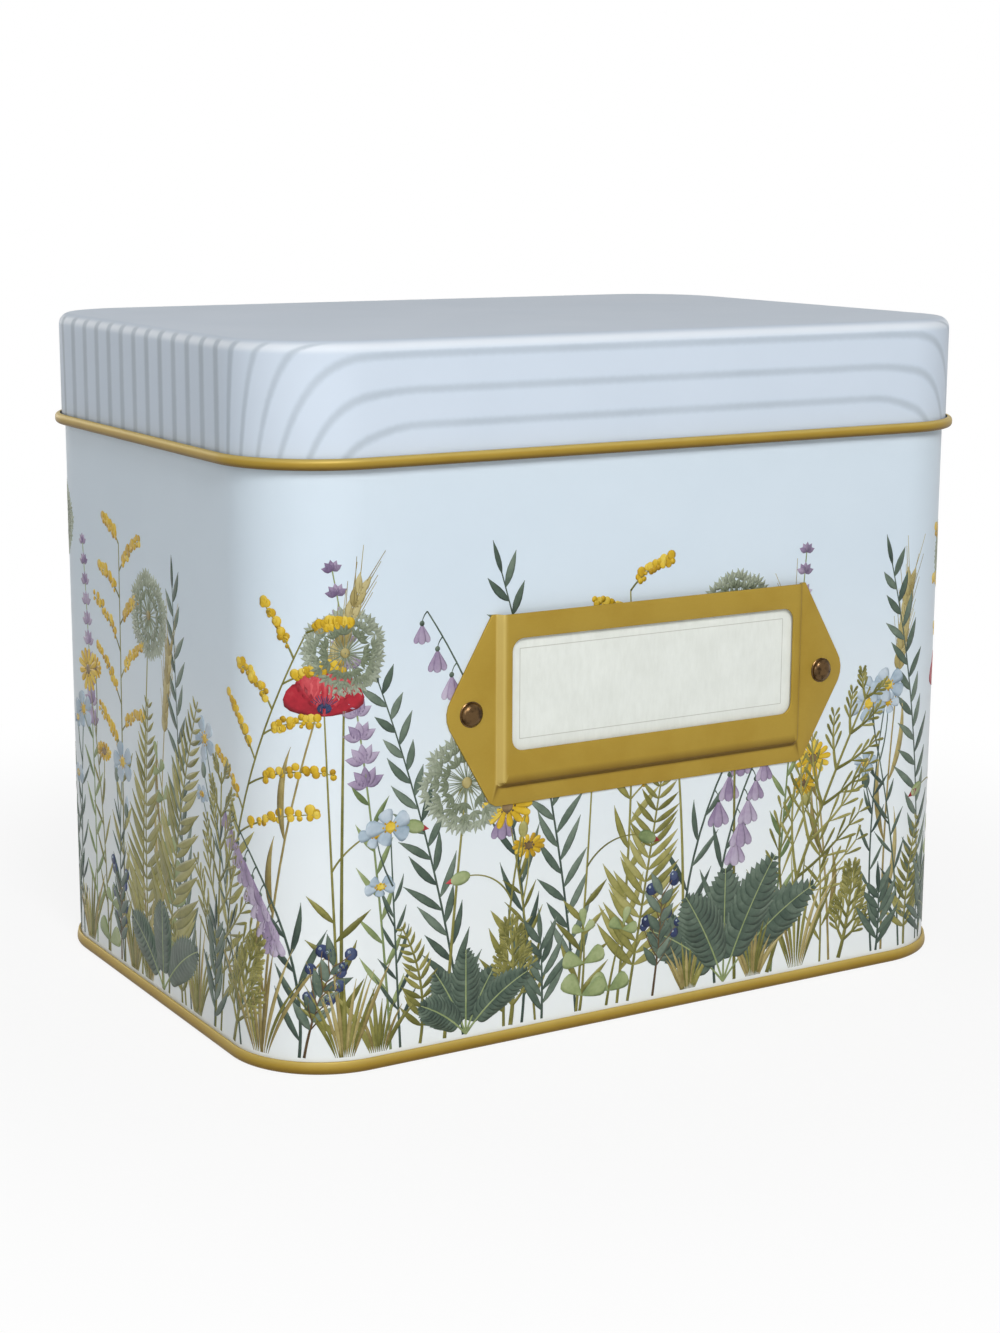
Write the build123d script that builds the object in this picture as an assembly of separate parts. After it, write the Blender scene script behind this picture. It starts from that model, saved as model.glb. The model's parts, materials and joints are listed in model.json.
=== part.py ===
from build123d import *

import os
from math import cos, radians, sin, sqrt

# Recipe card box: a round-cornered tin with a lift-off lid, a riveted label holder on its front
# and tabbed dividers with bundles of recipe cards inside. Everything is in millimetres and degrees.
# Frame: +Z up, +X along the front, the front faces -Y. The origin is the middle of the footprint,
# at the underside of the base seam. Every metal piece is modelled as the bent sheet that it is.

# ---------------------------------------------------------------- driving dimensions
# index cards and dividers
CARD_W = 152.4  # a six by four inch card
CARD_H = 101.6
CARD_T = 0.36
CARD_GAP = 0.06  # air between two cards of a bundle
CARDS_PER_BUNDLE = 6
CARD_CORNER_R = 3.0
DIVIDER_T = 0.5
DIVIDER_H = 105.0
TAB_W = 34.0
TAB_H = 12.0
TAB_CORNER_R = 3.0
TAB_PLACES = 4  # the tabs step across the dividers in this many places
TAB_STEP = 35.0
SECTIONS = 8  # a section is a divider and the bundle behind it
SECTION_GAP = 1.4  # air between two sections
BUNDLE_GAP = 0.15  # air between a divider and its bundle
LEAN = 8.0  # the sections lean this far back at rest

# room for the cards in the tin
SIDE_ROOM = 8.55  # from a card's end to the wall
DEPTH_ROOM = 81.1  # from the front wall to the front section's lower edge, and behind the last one
HEADROOM = 20.3  # from an upright tab to the lid
CARD_LIFT = 0.3  # clearance under the lowest edge of the cards
CARD_BACK_GAP = 0.4  # clearance to the rounded corners that the last section leans on

# tinplate and the body's corners
SHEET = 0.24
BODY_R = 19.7  # outer radius of the upright corners
RIM_CURL_R = 0.9  # outer radius of the safe edge that is rolled inwards along the rim
RIM_CURL_TURN = 280.0

# double seam that joins the wall and the base
SEAM_H = 2.6
SEAM_PLAY = 0.06  # air between the layers of the seam
COVER_HOOK_H = 1.5  # how far the base's inner hook reaches down
BODY_HOOK_H = 1.5  # how far the wall's outer hook reaches up
FOLD_FLAT = 0.02  # the flat that is left between the two bends of a fold
SEAM_FOOT_R = 0.4  # bends at the foot of the seam, at the middle of the sheet
PANEL_STEP = 0.6  # rise of the raised middle of the base
PANEL_STEP_INSET = 7.0  # from the wall to that step
PANEL_STEP_R = 0.5

# lock seam down the back of the wall
LOCK_SEAM_W = 5.0
LOCK_SEAM_T = 0.6
LOCK_GROOVE_W = 0.35
LOCK_GROOVE_DEPTH = 0.1
LOCK_SEAM_END_GAP = 1.2  # from the lock seam to the curl above it and the base below it

# lid
LID_PLAY = 0.45  # air all round between the wall and the lid's skirt
LID_EDGE_R = 2.4  # outer rounding of the lid's top edge
LID_SEAT_GAP = 0.2  # from the rim's curl to the lid's inside
LID_DEPTH = 22.8  # from the lid's top to the middle of its hem
HEM_R = 0.85  # outer radius of the hem that is rolled outwards round the skirt
HEM_TURN = 285.0
LID_FLAT_INSET = 8.0  # the lid's flat plate starts this far inside the wall

# label holder
HOLDER_SHEET = 0.5
HOLDER_H = 38.4
HOLDER_Z = 68.6  # height of the holder's middle
HOLDER_MARGIN = 1.0  # the flange beside the pocket, along its top and bottom corners
TIP_REACH = 11.0  # from those corners to the holder's pointed end
TIP_R = 6.0
POCKET_W = 74.4
POCKET_GAP = 1.3  # clear depth of the pocket
POCKET_EDGE_R = 0.8
POCKET_CORNER_R = 1.2
POCKET_FOOT = 3.6  # the flange below the pocket
WINDOW_SIDE = 2.9  # pocket metal beside the window
WINDOW_SILL = 7.4  # pocket metal below the window
WINDOW_HEAD = 4.9  # pocket metal above the window
WINDOW_R = 2.6

# label card
LABEL_T = 0.4
LABEL_PLAY = 0.4  # air at the ends of the label and under it
LABEL_DROP = 1.2  # from the holder's top edge down to the label's
LABEL_CORNER_R = 1.0

# rivets
RIVET_OFFSET = 5.7  # from the pocket's side to the rivet's axis
RIVET_HEAD_D = 5.2
RIVET_HEAD_H = 1.5
RIVET_SHANK_D = 2.0
RIVET_HOLE_PLAY = 0.05
RIVET_TAIL_D = 3.6
RIVET_TAIL_H = 0.6

# ---------------------------------------------------------------- worked-out sizes and places
BUNDLE_T = CARDS_PER_BUNDLE * (CARD_T + CARD_GAP) - CARD_GAP
SECTION_T = DIVIDER_T + BUNDLE_GAP + BUNDLE_T
SECTION_PITCH = (SECTION_T + SECTION_GAP) / cos(radians(LEAN))

BODY_W = CARD_W + 2 * (SIDE_ROOM + SHEET)
BODY_D = DEPTH_ROOM + SECTIONS * SECTION_PITCH + 2 * SHEET
FRONT_Y = -BODY_D / 2

COVER_HOOK = SEAM_PLAY  # inner faces of the seam's layers, from the wall's outer face
BODY_HOOK = COVER_HOOK + SHEET + SEAM_PLAY
SEAM_WALL = BODY_HOOK + SHEET + SEAM_PLAY
CHUCK_WALL = -2 * SHEET - SEAM_PLAY
HALF_SHEET = SHEET / 2
FLOOR_Z = SEAM_H + PANEL_STEP

SECTION_Z = FLOOR_Z + CARD_LIFT + SECTION_T * sin(radians(LEAN))  # height of the sections' front lower edges
LID_TOP_Z = SECTION_Z + DIVIDER_H + TAB_H + HEADROOM + SHEET
HEM_Z = LID_TOP_Z - LID_DEPTH

HOLDER_TOP = HOLDER_Z + HOLDER_H / 2
POCKET_BOTTOM = HOLDER_Z - HOLDER_H / 2 + POCKET_FOOT
POCKET_H = HOLDER_TOP - POCKET_BOTTOM
POCKET_OUT = POCKET_GAP + HOLDER_SHEET  # the pocket's face, from the wall
RIVET_X = POCKET_W / 2 + RIVET_OFFSET



def rim_height():
    """The height of the rim, whose curl seats inside the rounding of the lid's top edge."""
    centre_room = LID_EDGE_R - SHEET - RIM_CURL_R - LID_SEAT_GAP
    sideways = LID_EDGE_R - SHEET - RIM_CURL_R - LID_PLAY
    rise = sqrt(centre_room**2 - sideways**2) if sideways > 0 else centre_room
    return LID_TOP_Z - LID_EDGE_R + rise + RIM_CURL_R


RIM_Z = rim_height()


# ---------------------------------------------------------------- helpers
def tin_outline(out):
    """The tin's rounded rectangle, taken this far outside the outer face of the wall."""
    return RectangleRounded(BODY_W + 2 * out, BODY_D + 2 * out, BODY_R + out)


def sheet_section(line):
    """The section of a sheet that follows a line."""
    return trace(line, line_width=SHEET)


def carried_round(section):
    """Carries a section round the tin. X is the distance outside the wall's outer face, Y is the height."""
    at_the_side = Plane(origin=(BODY_W / 2, 0, 0), x_dir=(1, 0, 0), z_dir=(0, -1, 0))
    return sweep((at_the_side * section).face(), path=tin_outline(0).face().outer_wire())


def front_plate(sketch, inner, outer):
    """A sketch in X and Z made into a plate between two distances in front of the front wall."""
    seen_from_front = Plane(origin=(0, FRONT_Y - inner, 0), x_dir=(1, 0, 0), z_dir=(0, -1, 0))
    return extrude(seen_from_front * sketch, amount=outer - inner)


def card_outline(width, height, corner_r):
    """An upright card that stands on its lower edge, with all four corners rounded."""
    return Pos(0, height / 2) * RectangleRounded(width, height, corner_r)


def upright_sheet(sketch, front, thickness):
    """A card's outline in X and Z made into a sheet whose front face lies this far behind Y = 0."""
    seen_from_front = Plane(origin=(0, front, 0), x_dir=(1, 0, 0), z_dir=(0, -1, 0))
    return extrude(seen_from_front * sketch, amount=-thickness)


# ---------------------------------------------------------------- body
def rivet_holes():
    """Round cutters for both rivets, through the flange and the wall."""
    reach = HOLDER_SHEET + SHEET
    hole = front_plate(Circle(RIVET_SHANK_D / 2 + RIVET_HOLE_PLAY), -2 * reach, 2 * reach)
    return [Pos(side * RIVET_X, 0, HOLDER_Z) * hole for side in (-1, 1)]


def make_body_shell():
    """The rolled wall band, with its curled rim, its hook in the base seam and its lock seam at the back."""
    curl_r = RIM_CURL_R - HALF_SHEET
    hook_bottom = SHEET + SEAM_PLAY + HALF_SHEET
    hook_u = BODY_HOOK + HALF_SHEET
    hook_r = (hook_u + HALF_SHEET - FOLD_FLAT) / 2
    hook = FilletPolyline(
        (-HALF_SHEET, SEAM_H),
        (-HALF_SHEET, hook_bottom),
        (hook_u, hook_bottom),
        (hook_u, hook_bottom + BODY_HOOK_H),
        radius=hook_r,
    )
    upright = Line((-HALF_SHEET, SEAM_H), (-HALF_SHEET, RIM_Z - RIM_CURL_R))
    curl = CenterArc((-HALF_SHEET - curl_r, RIM_Z - RIM_CURL_R), curl_r, 0, RIM_CURL_TURN)
    wall = carried_round(sheet_section(Curve() + hook + upright + curl))

    low = SEAM_H + PANEL_STEP + LOCK_SEAM_END_GAP
    high = RIM_Z - 2 * RIM_CURL_R - LOCK_SEAM_END_GAP
    middle = (low + high) / 2
    seam = Pos(0, BODY_D / 2 - SHEET - LOCK_SEAM_T / 2, middle) * Box(LOCK_SEAM_W, LOCK_SEAM_T, high - low)
    seam = chamfer(seam.faces().sort_by(Axis.Y)[0].edges().filter_by(Axis.Z), LOCK_SEAM_T / 2)
    groove = Box(LOCK_GROOVE_W, 2 * LOCK_GROOVE_DEPTH, high - low)
    groove = Pos(LOCK_SEAM_W / 2, BODY_D / 2, middle) * groove
    return wall + seam - groove - rivet_holes()


def make_base_panel():
    """The recessed base with its raised middle, and the seam that it is rolled round the wall with."""
    panel_z = SEAM_H - HALF_SHEET
    chuck_u = CHUCK_WALL + HALF_SHEET
    outer_u = SEAM_WALL + HALF_SHEET
    hook_u = COVER_HOOK + HALF_SHEET
    step_u = -SHEET - PANEL_STEP_INSET
    fold_r = (outer_u - hook_u - FOLD_FLAT) / 2
    line = FilletPolyline(
        (step_u - 2 * PANEL_STEP, panel_z + PANEL_STEP),
        (step_u - PANEL_STEP, panel_z + PANEL_STEP),
        (step_u, panel_z),
        (chuck_u, panel_z),
        (chuck_u, HALF_SHEET),
        (outer_u, HALF_SHEET),
        (outer_u, panel_z),
        (hook_u, panel_z),
        (hook_u, panel_z - COVER_HOOK_H),
        radius=[PANEL_STEP_R, PANEL_STEP_R, SEAM_FOOT_R, SEAM_FOOT_R, SEAM_FOOT_R, fold_r, fold_r],
    )
    plate = extrude(tin_outline(step_u - 2 * PANEL_STEP), SHEET)
    return carried_round(sheet_section(line)) + Pos(0, 0, FLOOR_Z - SHEET) * plate


# ---------------------------------------------------------------- lid
def make_lid_shell():
    """The drawn lid, with its skirt and the hem that is rolled outwards round it."""
    skirt_u = LID_PLAY + HALF_SHEET
    top_z = LID_TOP_Z - HALF_SHEET
    hem_r = HEM_R - HALF_SHEET
    drawn = FilletPolyline(
        (-LID_FLAT_INSET, top_z),
        (skirt_u, top_z),
        (skirt_u, HEM_Z),
        radius=LID_EDGE_R - HALF_SHEET,
    )
    hem = CenterArc((skirt_u + hem_r, HEM_Z), hem_r, 180, HEM_TURN)
    plate = extrude(tin_outline(-LID_FLAT_INSET), SHEET)
    return carried_round(sheet_section(Curve() + drawn + hem)) + Pos(0, 0, LID_TOP_Z - SHEET) * plate


# ---------------------------------------------------------------- label holder, label and rivets
def make_label_holder():
    """A pressed plate with pointed ends and a raised pocket that is open at its top and has a window."""
    corner_x = POCKET_W / 2 + HOLDER_MARGIN
    half_h = HOLDER_H / 2
    tip_x = corner_x + TIP_REACH
    outline = make_face(
        Polyline(
            (corner_x, half_h),
            (tip_x, 0),
            (corner_x, -half_h),
            (-corner_x, -half_h),
            (-tip_x, 0),
            (-corner_x, half_h),
            close=True,
        )
    )
    corners = outline.vertices().sort_by(Axis.X)
    outline = fillet([corners[0], corners[-1]], TIP_R)
    flange = front_plate(Pos(0, HOLDER_Z) * outline, 0, HOLDER_SHEET)

    pocket_middle = Pos(0, (POCKET_BOTTOM + HOLDER_TOP) / 2)
    outside = front_plate(pocket_middle * Rectangle(POCKET_W, POCKET_H), 0, POCKET_OUT)
    lower_corners = outside.edges().filter_by(Axis.Y).group_by(Axis.Z)[0]
    outside = fillet(lower_corners, POCKET_CORNER_R)
    face_edges = outside.faces().sort_by(Axis.Y)[0].edges()
    outside = fillet(face_edges.sort_by(Axis.Z)[:-1], POCKET_EDGE_R)

    inner_w = POCKET_W - 2 * HOLDER_SHEET
    inner_low = POCKET_BOTTOM + HOLDER_SHEET
    hollow_h = HOLDER_TOP - inner_low + HOLDER_SHEET
    hollow = front_plate(Pos(0, inner_low + hollow_h / 2) * Rectangle(inner_w, hollow_h), -SHEET, POCKET_GAP)

    window_w = POCKET_W - 2 * WINDOW_SIDE
    window_h = POCKET_H - WINDOW_SILL - WINDOW_HEAD
    window_z = POCKET_BOTTOM + WINDOW_SILL + window_h / 2
    window = front_plate(Pos(0, window_z) * RectangleRounded(window_w, window_h, WINDOW_R), 0, 2 * POCKET_OUT)
    return flange + outside - hollow - window - rivet_holes()


def make_label_card():
    """The loose card in the holder's pocket."""
    low = POCKET_BOTTOM + HOLDER_SHEET + LABEL_PLAY
    width = POCKET_W - 2 * (HOLDER_SHEET + LABEL_PLAY)
    height = HOLDER_TOP - LABEL_DROP - low
    outline = Pos(0, low) * card_outline(width, height, LABEL_CORNER_R)
    inner = (POCKET_GAP - LABEL_T) / 2
    return front_plate(outline, inner, inner + LABEL_T)


def make_rivet(side):
    """A domed rivet: its head on the flange, its shank through flange and wall, its tail clinched inside."""
    head_ball_r = (RIVET_HEAD_D**2 / 4 + RIVET_HEAD_H**2) / (2 * RIVET_HEAD_H)
    head = Pos(0, 0, HOLDER_SHEET + RIVET_HEAD_H - head_ball_r) * Sphere(head_ball_r)
    keep = Pos(0, 0, HOLDER_SHEET + RIVET_HEAD_H) * Box(
        2 * head_ball_r, 2 * head_ball_r, 2 * RIVET_HEAD_H
    )
    shank_length = HOLDER_SHEET + SHEET + RIVET_TAIL_H
    shank = Pos(0, 0, HOLDER_SHEET - shank_length / 2) * Cylinder(RIVET_SHANK_D / 2, shank_length)
    tail = Cylinder(RIVET_TAIL_D / 2, RIVET_TAIL_H)
    tail = fillet(tail.edges().sort_by(Axis.Z)[0], RIVET_TAIL_H / 3)
    tail = Pos(0, 0, -SHEET - RIVET_TAIL_H / 2) * tail
    rivet = (head & keep) + shank + tail
    outwards = Plane(origin=(side * RIVET_X, FRONT_Y, HOLDER_Z), x_dir=(1, 0, 0), z_dir=(0, -1, 0))
    return outwards * rivet


# ---------------------------------------------------------------- dividers and cards
def last_section_y():
    """Where the last section's front lower edge stands, so that its top leans on the rounded corners."""
    inner_r = BODY_R - SHEET
    past_straight = max(0.0, CARD_W / 2 - CARD_CORNER_R / 2 - (BODY_W / 2 - BODY_R))
    corner_y = BODY_D / 2 - BODY_R + sqrt(inner_r**2 - past_straight**2)
    lean = radians(LEAN)
    return corner_y - CARD_BACK_GAP - SECTION_T * cos(lean) - DIVIDER_H * sin(lean)


def section_place(number):
    """Where section 1, at the front, to SECTIONS, at the back, stands and how it leans."""
    from_last = SECTIONS - number
    return Pos(0, last_section_y() - from_last * SECTION_PITCH, SECTION_Z) * Rot(-LEAN, 0, 0)


def make_divider(number):
    """A divider, with the tab that steps across from one divider to the next."""
    place_across = (number - 1) % TAB_PLACES - (TAB_PLACES - 1) / 2
    tab_h = TAB_H + 2 * TAB_CORNER_R
    tab = Pos(place_across * TAB_STEP, DIVIDER_H + TAB_H - tab_h) * card_outline(TAB_W, tab_h, TAB_CORNER_R)
    outline = card_outline(CARD_W, DIVIDER_H, CARD_CORNER_R) + tab
    return section_place(number) * upright_sheet(outline, 0, DIVIDER_T)


def make_bundle(number):
    """The recipe cards behind a divider, each one a loose sheet."""
    outline = card_outline(CARD_W, CARD_H, CARD_CORNER_R)
    first = DIVIDER_T + BUNDLE_GAP
    sheets = [
        upright_sheet(outline, first + index * (CARD_T + CARD_GAP), CARD_T) for index in range(CARDS_PER_BUNDLE)
    ]
    return Compound([section_place(number) * sheet for sheet in sheets])


# ---------------------------------------------------------------- write the parts
pieces = {
    "body_shell": make_body_shell(),
    "base_panel": make_base_panel(),
    "lid_shell": make_lid_shell(),
    "label_holder": make_label_holder(),
    "label_card": make_label_card(),
    "rivet_left": make_rivet(-1),
    "rivet_right": make_rivet(1),
}
for number in range(1, SECTIONS + 1):
    pieces[f"divider_{number}"] = make_divider(number)
    pieces[f"recipe_cards_{number}"] = make_bundle(number)

os.makedirs("parts", exist_ok=True)
for name, shape in pieces.items():
    export_step(shape, f"parts/{name}.step")

print(f"body {BODY_W:.2f} x {BODY_D:.2f}, lid top {LID_TOP_Z:.2f}, rim {RIM_Z:.2f}, hem {HEM_Z:.2f}")
print(f"sections: pitch {SECTION_PITCH:.3f}, thickness {SECTION_T:.3f}, edge height {SECTION_Z:.3f}")
print(f"front section at y {last_section_y() - (SECTIONS - 1) * SECTION_PITCH:.3f}, last {last_section_y():.3f}")
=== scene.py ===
# %% [markdown]
# # A printed tin for recipe cards
#
# A recipe tin is a thin metal box: a band of tinplate rolled round a base, with a drawn lid that
# lifts off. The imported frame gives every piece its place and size. This notebook gives them their
# looks: enamel, print, gold lacquer, bronze and card.

# %% Load the frame
import json

import bmesh
import bpy
import numpy as np
from mathutils import Matrix, Vector


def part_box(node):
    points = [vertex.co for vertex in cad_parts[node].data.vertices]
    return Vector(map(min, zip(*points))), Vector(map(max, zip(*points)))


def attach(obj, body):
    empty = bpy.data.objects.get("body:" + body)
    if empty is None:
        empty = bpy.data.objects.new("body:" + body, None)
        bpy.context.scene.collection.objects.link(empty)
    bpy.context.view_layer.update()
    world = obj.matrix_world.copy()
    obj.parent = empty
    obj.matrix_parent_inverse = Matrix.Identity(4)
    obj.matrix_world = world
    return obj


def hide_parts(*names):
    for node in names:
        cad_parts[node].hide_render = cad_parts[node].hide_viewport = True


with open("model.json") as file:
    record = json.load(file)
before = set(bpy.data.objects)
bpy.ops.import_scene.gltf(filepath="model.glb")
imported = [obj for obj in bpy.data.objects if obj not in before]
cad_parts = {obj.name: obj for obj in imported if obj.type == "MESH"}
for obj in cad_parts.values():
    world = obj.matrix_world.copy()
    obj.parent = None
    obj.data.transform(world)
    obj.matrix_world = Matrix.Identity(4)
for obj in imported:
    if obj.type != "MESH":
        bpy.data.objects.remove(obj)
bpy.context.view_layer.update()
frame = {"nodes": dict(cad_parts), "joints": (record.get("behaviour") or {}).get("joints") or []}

# %% [markdown]
# Sizes come from the frame wherever a node shows them. The tin's footprint is a rounded rectangle,
# so three numbers describe it: the width, the depth and the radius of the upright corners. What no
# box can tell, such as that radius or the sheet's thickness, is written here once, in metres.

# %% Sizes
MM = 0.001
SHEET = 0.24 * MM
HALF = SHEET / 2
LID_PLAY = 0.45 * MM
LID_EDGE_R = 2.4 * MM
HEM_R = 0.85 * MM
HEM_TALL = 0.5 * MM
RIM_R = 0.9 * MM
SEAM_OUT = 0.90 * MM
SEAM_PLAY = 0.06 * MM
SEAM_H = 2.6 * MM
CORNER_R = 19.7 * MM

base_low, base_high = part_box("base_panel")
lid_low, lid_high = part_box("lid_shell")
WALL_W = base_high.x - base_low.x - 2 * SEAM_OUT
WALL_D = base_high.y - base_low.y - 2 * SEAM_OUT
FRONT_Y = -WALL_D / 2
RIM_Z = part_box("body_shell")[1].z
LID_TOP = lid_high.z
HEM_Z = lid_low.z + HEM_R
print(f"wall {WALL_W / MM:.1f} x {WALL_D / MM:.1f} mm, rim {RIM_Z / MM:.1f}, lid top {LID_TOP / MM:.1f}")

# %% [markdown]
# ## Walking round the tin
#
# Every metal piece follows the same footprint, so one function does most of the work. It takes a
# distance walked along the wall from the middle of the front, and gives the point there. The
# corners are quarter circles, and an offset moves a point straight out of the wall, so one walk
# serves the wall, the lid's skirt and the seams. A curve object could carry a section round the tin
# too, but a function can also say where a brush stroke lies on the wall.

# %% Walk along the wall
HALF_FRONT = WALL_W / 2 - CORNER_R
HALF_SIDE = WALL_D / 2 - CORNER_R
ARC = CORNER_R * np.pi / 2
HALF_WALK = 2 * HALF_FRONT + 2 * HALF_SIDE + 2 * ARC


def wall_point(walk, height, out=0.0):
    """Straight stretches keep their distance, corners turn by distance / radius, `out` adds to the radius."""
    walk, height, out = np.broadcast_arrays(walk, height, out)
    side = np.where(walk < 0, -1.0, 1.0)
    s = np.abs(walk)
    near_turn = np.clip((s - HALF_FRONT) / CORNER_R, 0, np.pi / 2)
    far_turn = np.clip((s - HALF_FRONT - ARC - 2 * HALF_SIDE) / CORNER_R, 0, np.pi / 2)
    along_front = np.clip(s, 0, HALF_FRONT)
    along_side = np.clip(s - HALF_FRONT - ARC, 0, 2 * HALF_SIDE)
    along_back = np.clip(s - HALF_FRONT - 2 * ARC - 2 * HALF_SIDE, 0, HALF_FRONT)
    turn = near_turn + far_turn
    x = along_front - along_back + (CORNER_R + out) * np.sin(turn)
    y = -HALF_SIDE + along_side - (CORNER_R + out) * np.cos(turn)
    return np.stack([side * x, y, height], axis=-1)


def walk_stations(per_corner=28, step=8 * MM):
    """Distances for one lap from the middle of the back: even on the straights, close in the corners."""
    far_corner = HALF_FRONT + ARC + 2 * HALF_SIDE
    marks = [0, HALF_FRONT, HALF_FRONT + ARC, far_corner, HALF_WALK - HALF_FRONT, HALF_WALK]
    on_front, on_side = int(HALF_FRONT / step), int(2 * HALF_SIDE / step)
    counts = [on_front, per_corner, on_side, per_corner, on_front]
    stretches = [np.linspace(a, b, n, endpoint=False) for a, b, n in zip(marks[:-1], marks[1:], counts)]
    half = np.concatenate(stretches)
    return np.concatenate([-half[:0:-1], half, [HALF_WALK]])


lap = walk_stations()
print("a lap of the wall is", round(2 * HALF_WALK / MM, 1), "mm in", len(lap), "stations")

# %% [markdown]
# ## From a bent sheet to a mesh
#
# Tinplate is bent, never cut from the solid, so each section is a line that the middle of the sheet
# follows. Stepping half a sheet to each side of that line gives a closed loop. Carrying the loop
# round the lap gives a closed surface that has the sheet's real thickness and its real round folds.

# %% Section helpers
def bend(corners, radii, per_bend=8):
    """A line whose corners become arcs. Each arc begins and ends radius * tan(half turn) from its corner."""
    corners = np.array(corners, float)
    points = [corners[0]]
    for before, corner, after, radius in zip(corners[:-2], corners[1:-1], corners[2:], radii):
        d_in = (corner - before) / np.linalg.norm(corner - before)
        d_out = (after - corner) / np.linalg.norm(after - corner)
        turn = np.arctan2(d_in[0] * d_out[1] - d_in[1] * d_out[0], d_in @ d_out)
        reach = radius * np.tan(abs(turn) / 2)
        left = np.array([-d_in[1], d_in[0]]) * np.sign(turn)
        centre = corner - d_in * reach + left * radius
        angles = np.linspace(0, turn, per_bend + 1)[:, None]
        spoke = -left * radius
        across = np.array([-spoke[1], spoke[0]])
        points.extend(centre + spoke * np.cos(angles) + across * np.sin(angles))
    return np.array([*points, corners[-1]])


def curl(centre, radius, start, turn, count=26):
    """Part of a circle, given by its first angle and its turn in degrees."""
    angle = np.radians(np.linspace(start, start + turn, count))[:, None]
    return np.array(centre) + radius * np.concatenate([np.cos(angle), np.sin(angle)], axis=1)


def smooth_rise(value, low, high):
    """3t^2 - 2t^3 of the share t of the way from low to high."""
    t = np.clip((value - low) / (high - low), 0, 1)
    return t * t * (3 - 2 * t)


print("bend test:", bend([(0, 0), (1, 0), (1, 1)], [0.5]).shape)


# %% Mesh helpers
def new_piece(name, points, faces, materials, face_material=None, smooth_angle=40):
    """A mesh from arrays, smooth but for edges sharper than the angle."""
    mesh = bpy.data.meshes.new(name)
    mesh.from_pydata(points.reshape(-1, 3).tolist(), [], faces)
    for material in materials:
        mesh.materials.append(material)
    if face_material is not None:
        mesh.polygons.foreach_set("material_index", np.asarray(face_material, np.int32))
    mesh.shade_smooth()
    mesh.set_sharp_from_angle(angle=np.radians(smooth_angle))
    piece = bpy.data.objects.new(name, mesh)
    bpy.context.scene.collection.objects.link(piece)
    return piece


def grid_faces(rows, columns, close_rows=False, close_columns=False):
    """Four corners per cell of a grid of points, counted row by row. A closed direction wraps round."""
    r = np.arange(rows if close_rows else rows - 1)[:, None]
    c = np.arange(columns if close_columns else columns - 1)[None, :]
    r2, c2 = (r + 1) % rows, (c + 1) % columns
    corners = [r * columns + c, r * columns + c2, r2 * columns + c2, r2 * columns + c]
    return np.stack(corners, axis=-1).reshape(-1, 4)


def end_faces(rows, columns):
    """The two flat ends of a tube whose rings are the grid's rows."""
    return [list(range(columns - 1, -1, -1)), list(range((rows - 1) * columns, rows * columns))]


def outward(points, faces):
    """Reverses every face if the closed surface's volume, the sum of a . (b x c) / 6, comes out negative."""
    fans = np.array([(f[0], b, c) for f in faces for b, c in zip(f[1:-1], f[2:])])
    a, b, c = (points[fans[:, k]] for k in range(3))
    volume = np.einsum("ij,ij->i", a, np.cross(b, c)).sum() / 6
    return faces if volume > 0 else [f[::-1] for f in faces]


def merge_doubles(piece, toward=None):
    """Welds points that lie on each other and turns the faces outwards, or towards a direction."""
    mesh = bmesh.new()
    mesh.from_mesh(piece.data)
    bmesh.ops.remove_doubles(mesh, verts=mesh.verts, dist=0.001 * MM)
    bmesh.ops.recalc_face_normals(mesh, faces=mesh.faces)
    if toward is not None and sum((f.normal * f.calc_area()).dot(toward) for f in mesh.faces) < 0:
        bmesh.ops.reverse_faces(mesh, faces=mesh.faces)
    mesh.to_mesh(piece.data)
    mesh.free()


def point_array(piece):
    return np.array([v.co for v in piece.data.vertices])


def set_point_attribute(piece, name, *values):
    """Stores one vector per point, which a material reads by the attribute's name."""
    layer = piece.data.attributes.new(name, "FLOAT_VECTOR", "POINT")
    vectors = np.stack(np.broadcast_arrays(*values), axis=-1)
    layer.data.foreach_set("vector", vectors.astype(np.float32).ravel())


def dress(piece, body, slot, *nodes):
    """The piece moves with the body and stands for the nodes, which it hides. The slot is not used."""
    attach(piece, body)
    if nodes:
        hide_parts(*nodes)


print("a 3 x 4 grid has", len(grid_faces(3, 4)), "faces")

# %% [markdown]
# ## Writing shader maths as Python
#
# A material is a small program. Wrapping a socket in a class lets its nodes be written as plain
# expressions, so `1 - mask` adds a Math node. Colours and vectors have nodes of their own, because
# a Math node would turn a colour grey.

# %% Colours
def srgb(red, green, blue):
    """A colour as a paint chart gives it, 0 to 255, made linear for the shader."""
    c = np.array([red, green, blue]) / 255
    return np.where(c <= 0.04045, c / 12.92, ((c + 0.055) / 1.055) ** 2.4)


print("mid grey is", round(srgb(128, 128, 128)[0], 3), "in linear light")


# %% Shader values
class Value:
    """A node's output that can be used in a sum."""

    def __init__(self, graph, socket):
        self.graph, self.socket = graph, socket

    def maths(self, operation, *others):
        return self.graph.node("ShaderNodeMath", {"operation": operation}, [self, *others])

    def __add__(self, other):
        return self.maths("ADD", other)

    def __sub__(self, other):
        return self.maths("SUBTRACT", other)

    def __rsub__(self, other):
        return self.graph.node("ShaderNodeMath", {"operation": "SUBTRACT"}, [other, self])

    def __mul__(self, other):
        return self.maths("MULTIPLY", other)

    __radd__, __rmul__ = __add__, __mul__

    def step(self, low, high):
        """0 below low, 1 above high, with a soft rise between them."""
        settings = {"interpolation_type": "SMOOTHSTEP"}
        return self.graph.node("ShaderNodeMapRange", settings, {0: self, 1: low, 2: high})

    def part(self, axis):
        """One of the three parts of a vector."""
        return self.graph.node("ShaderNodeSeparateXYZ", {}, [self], axis)


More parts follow.
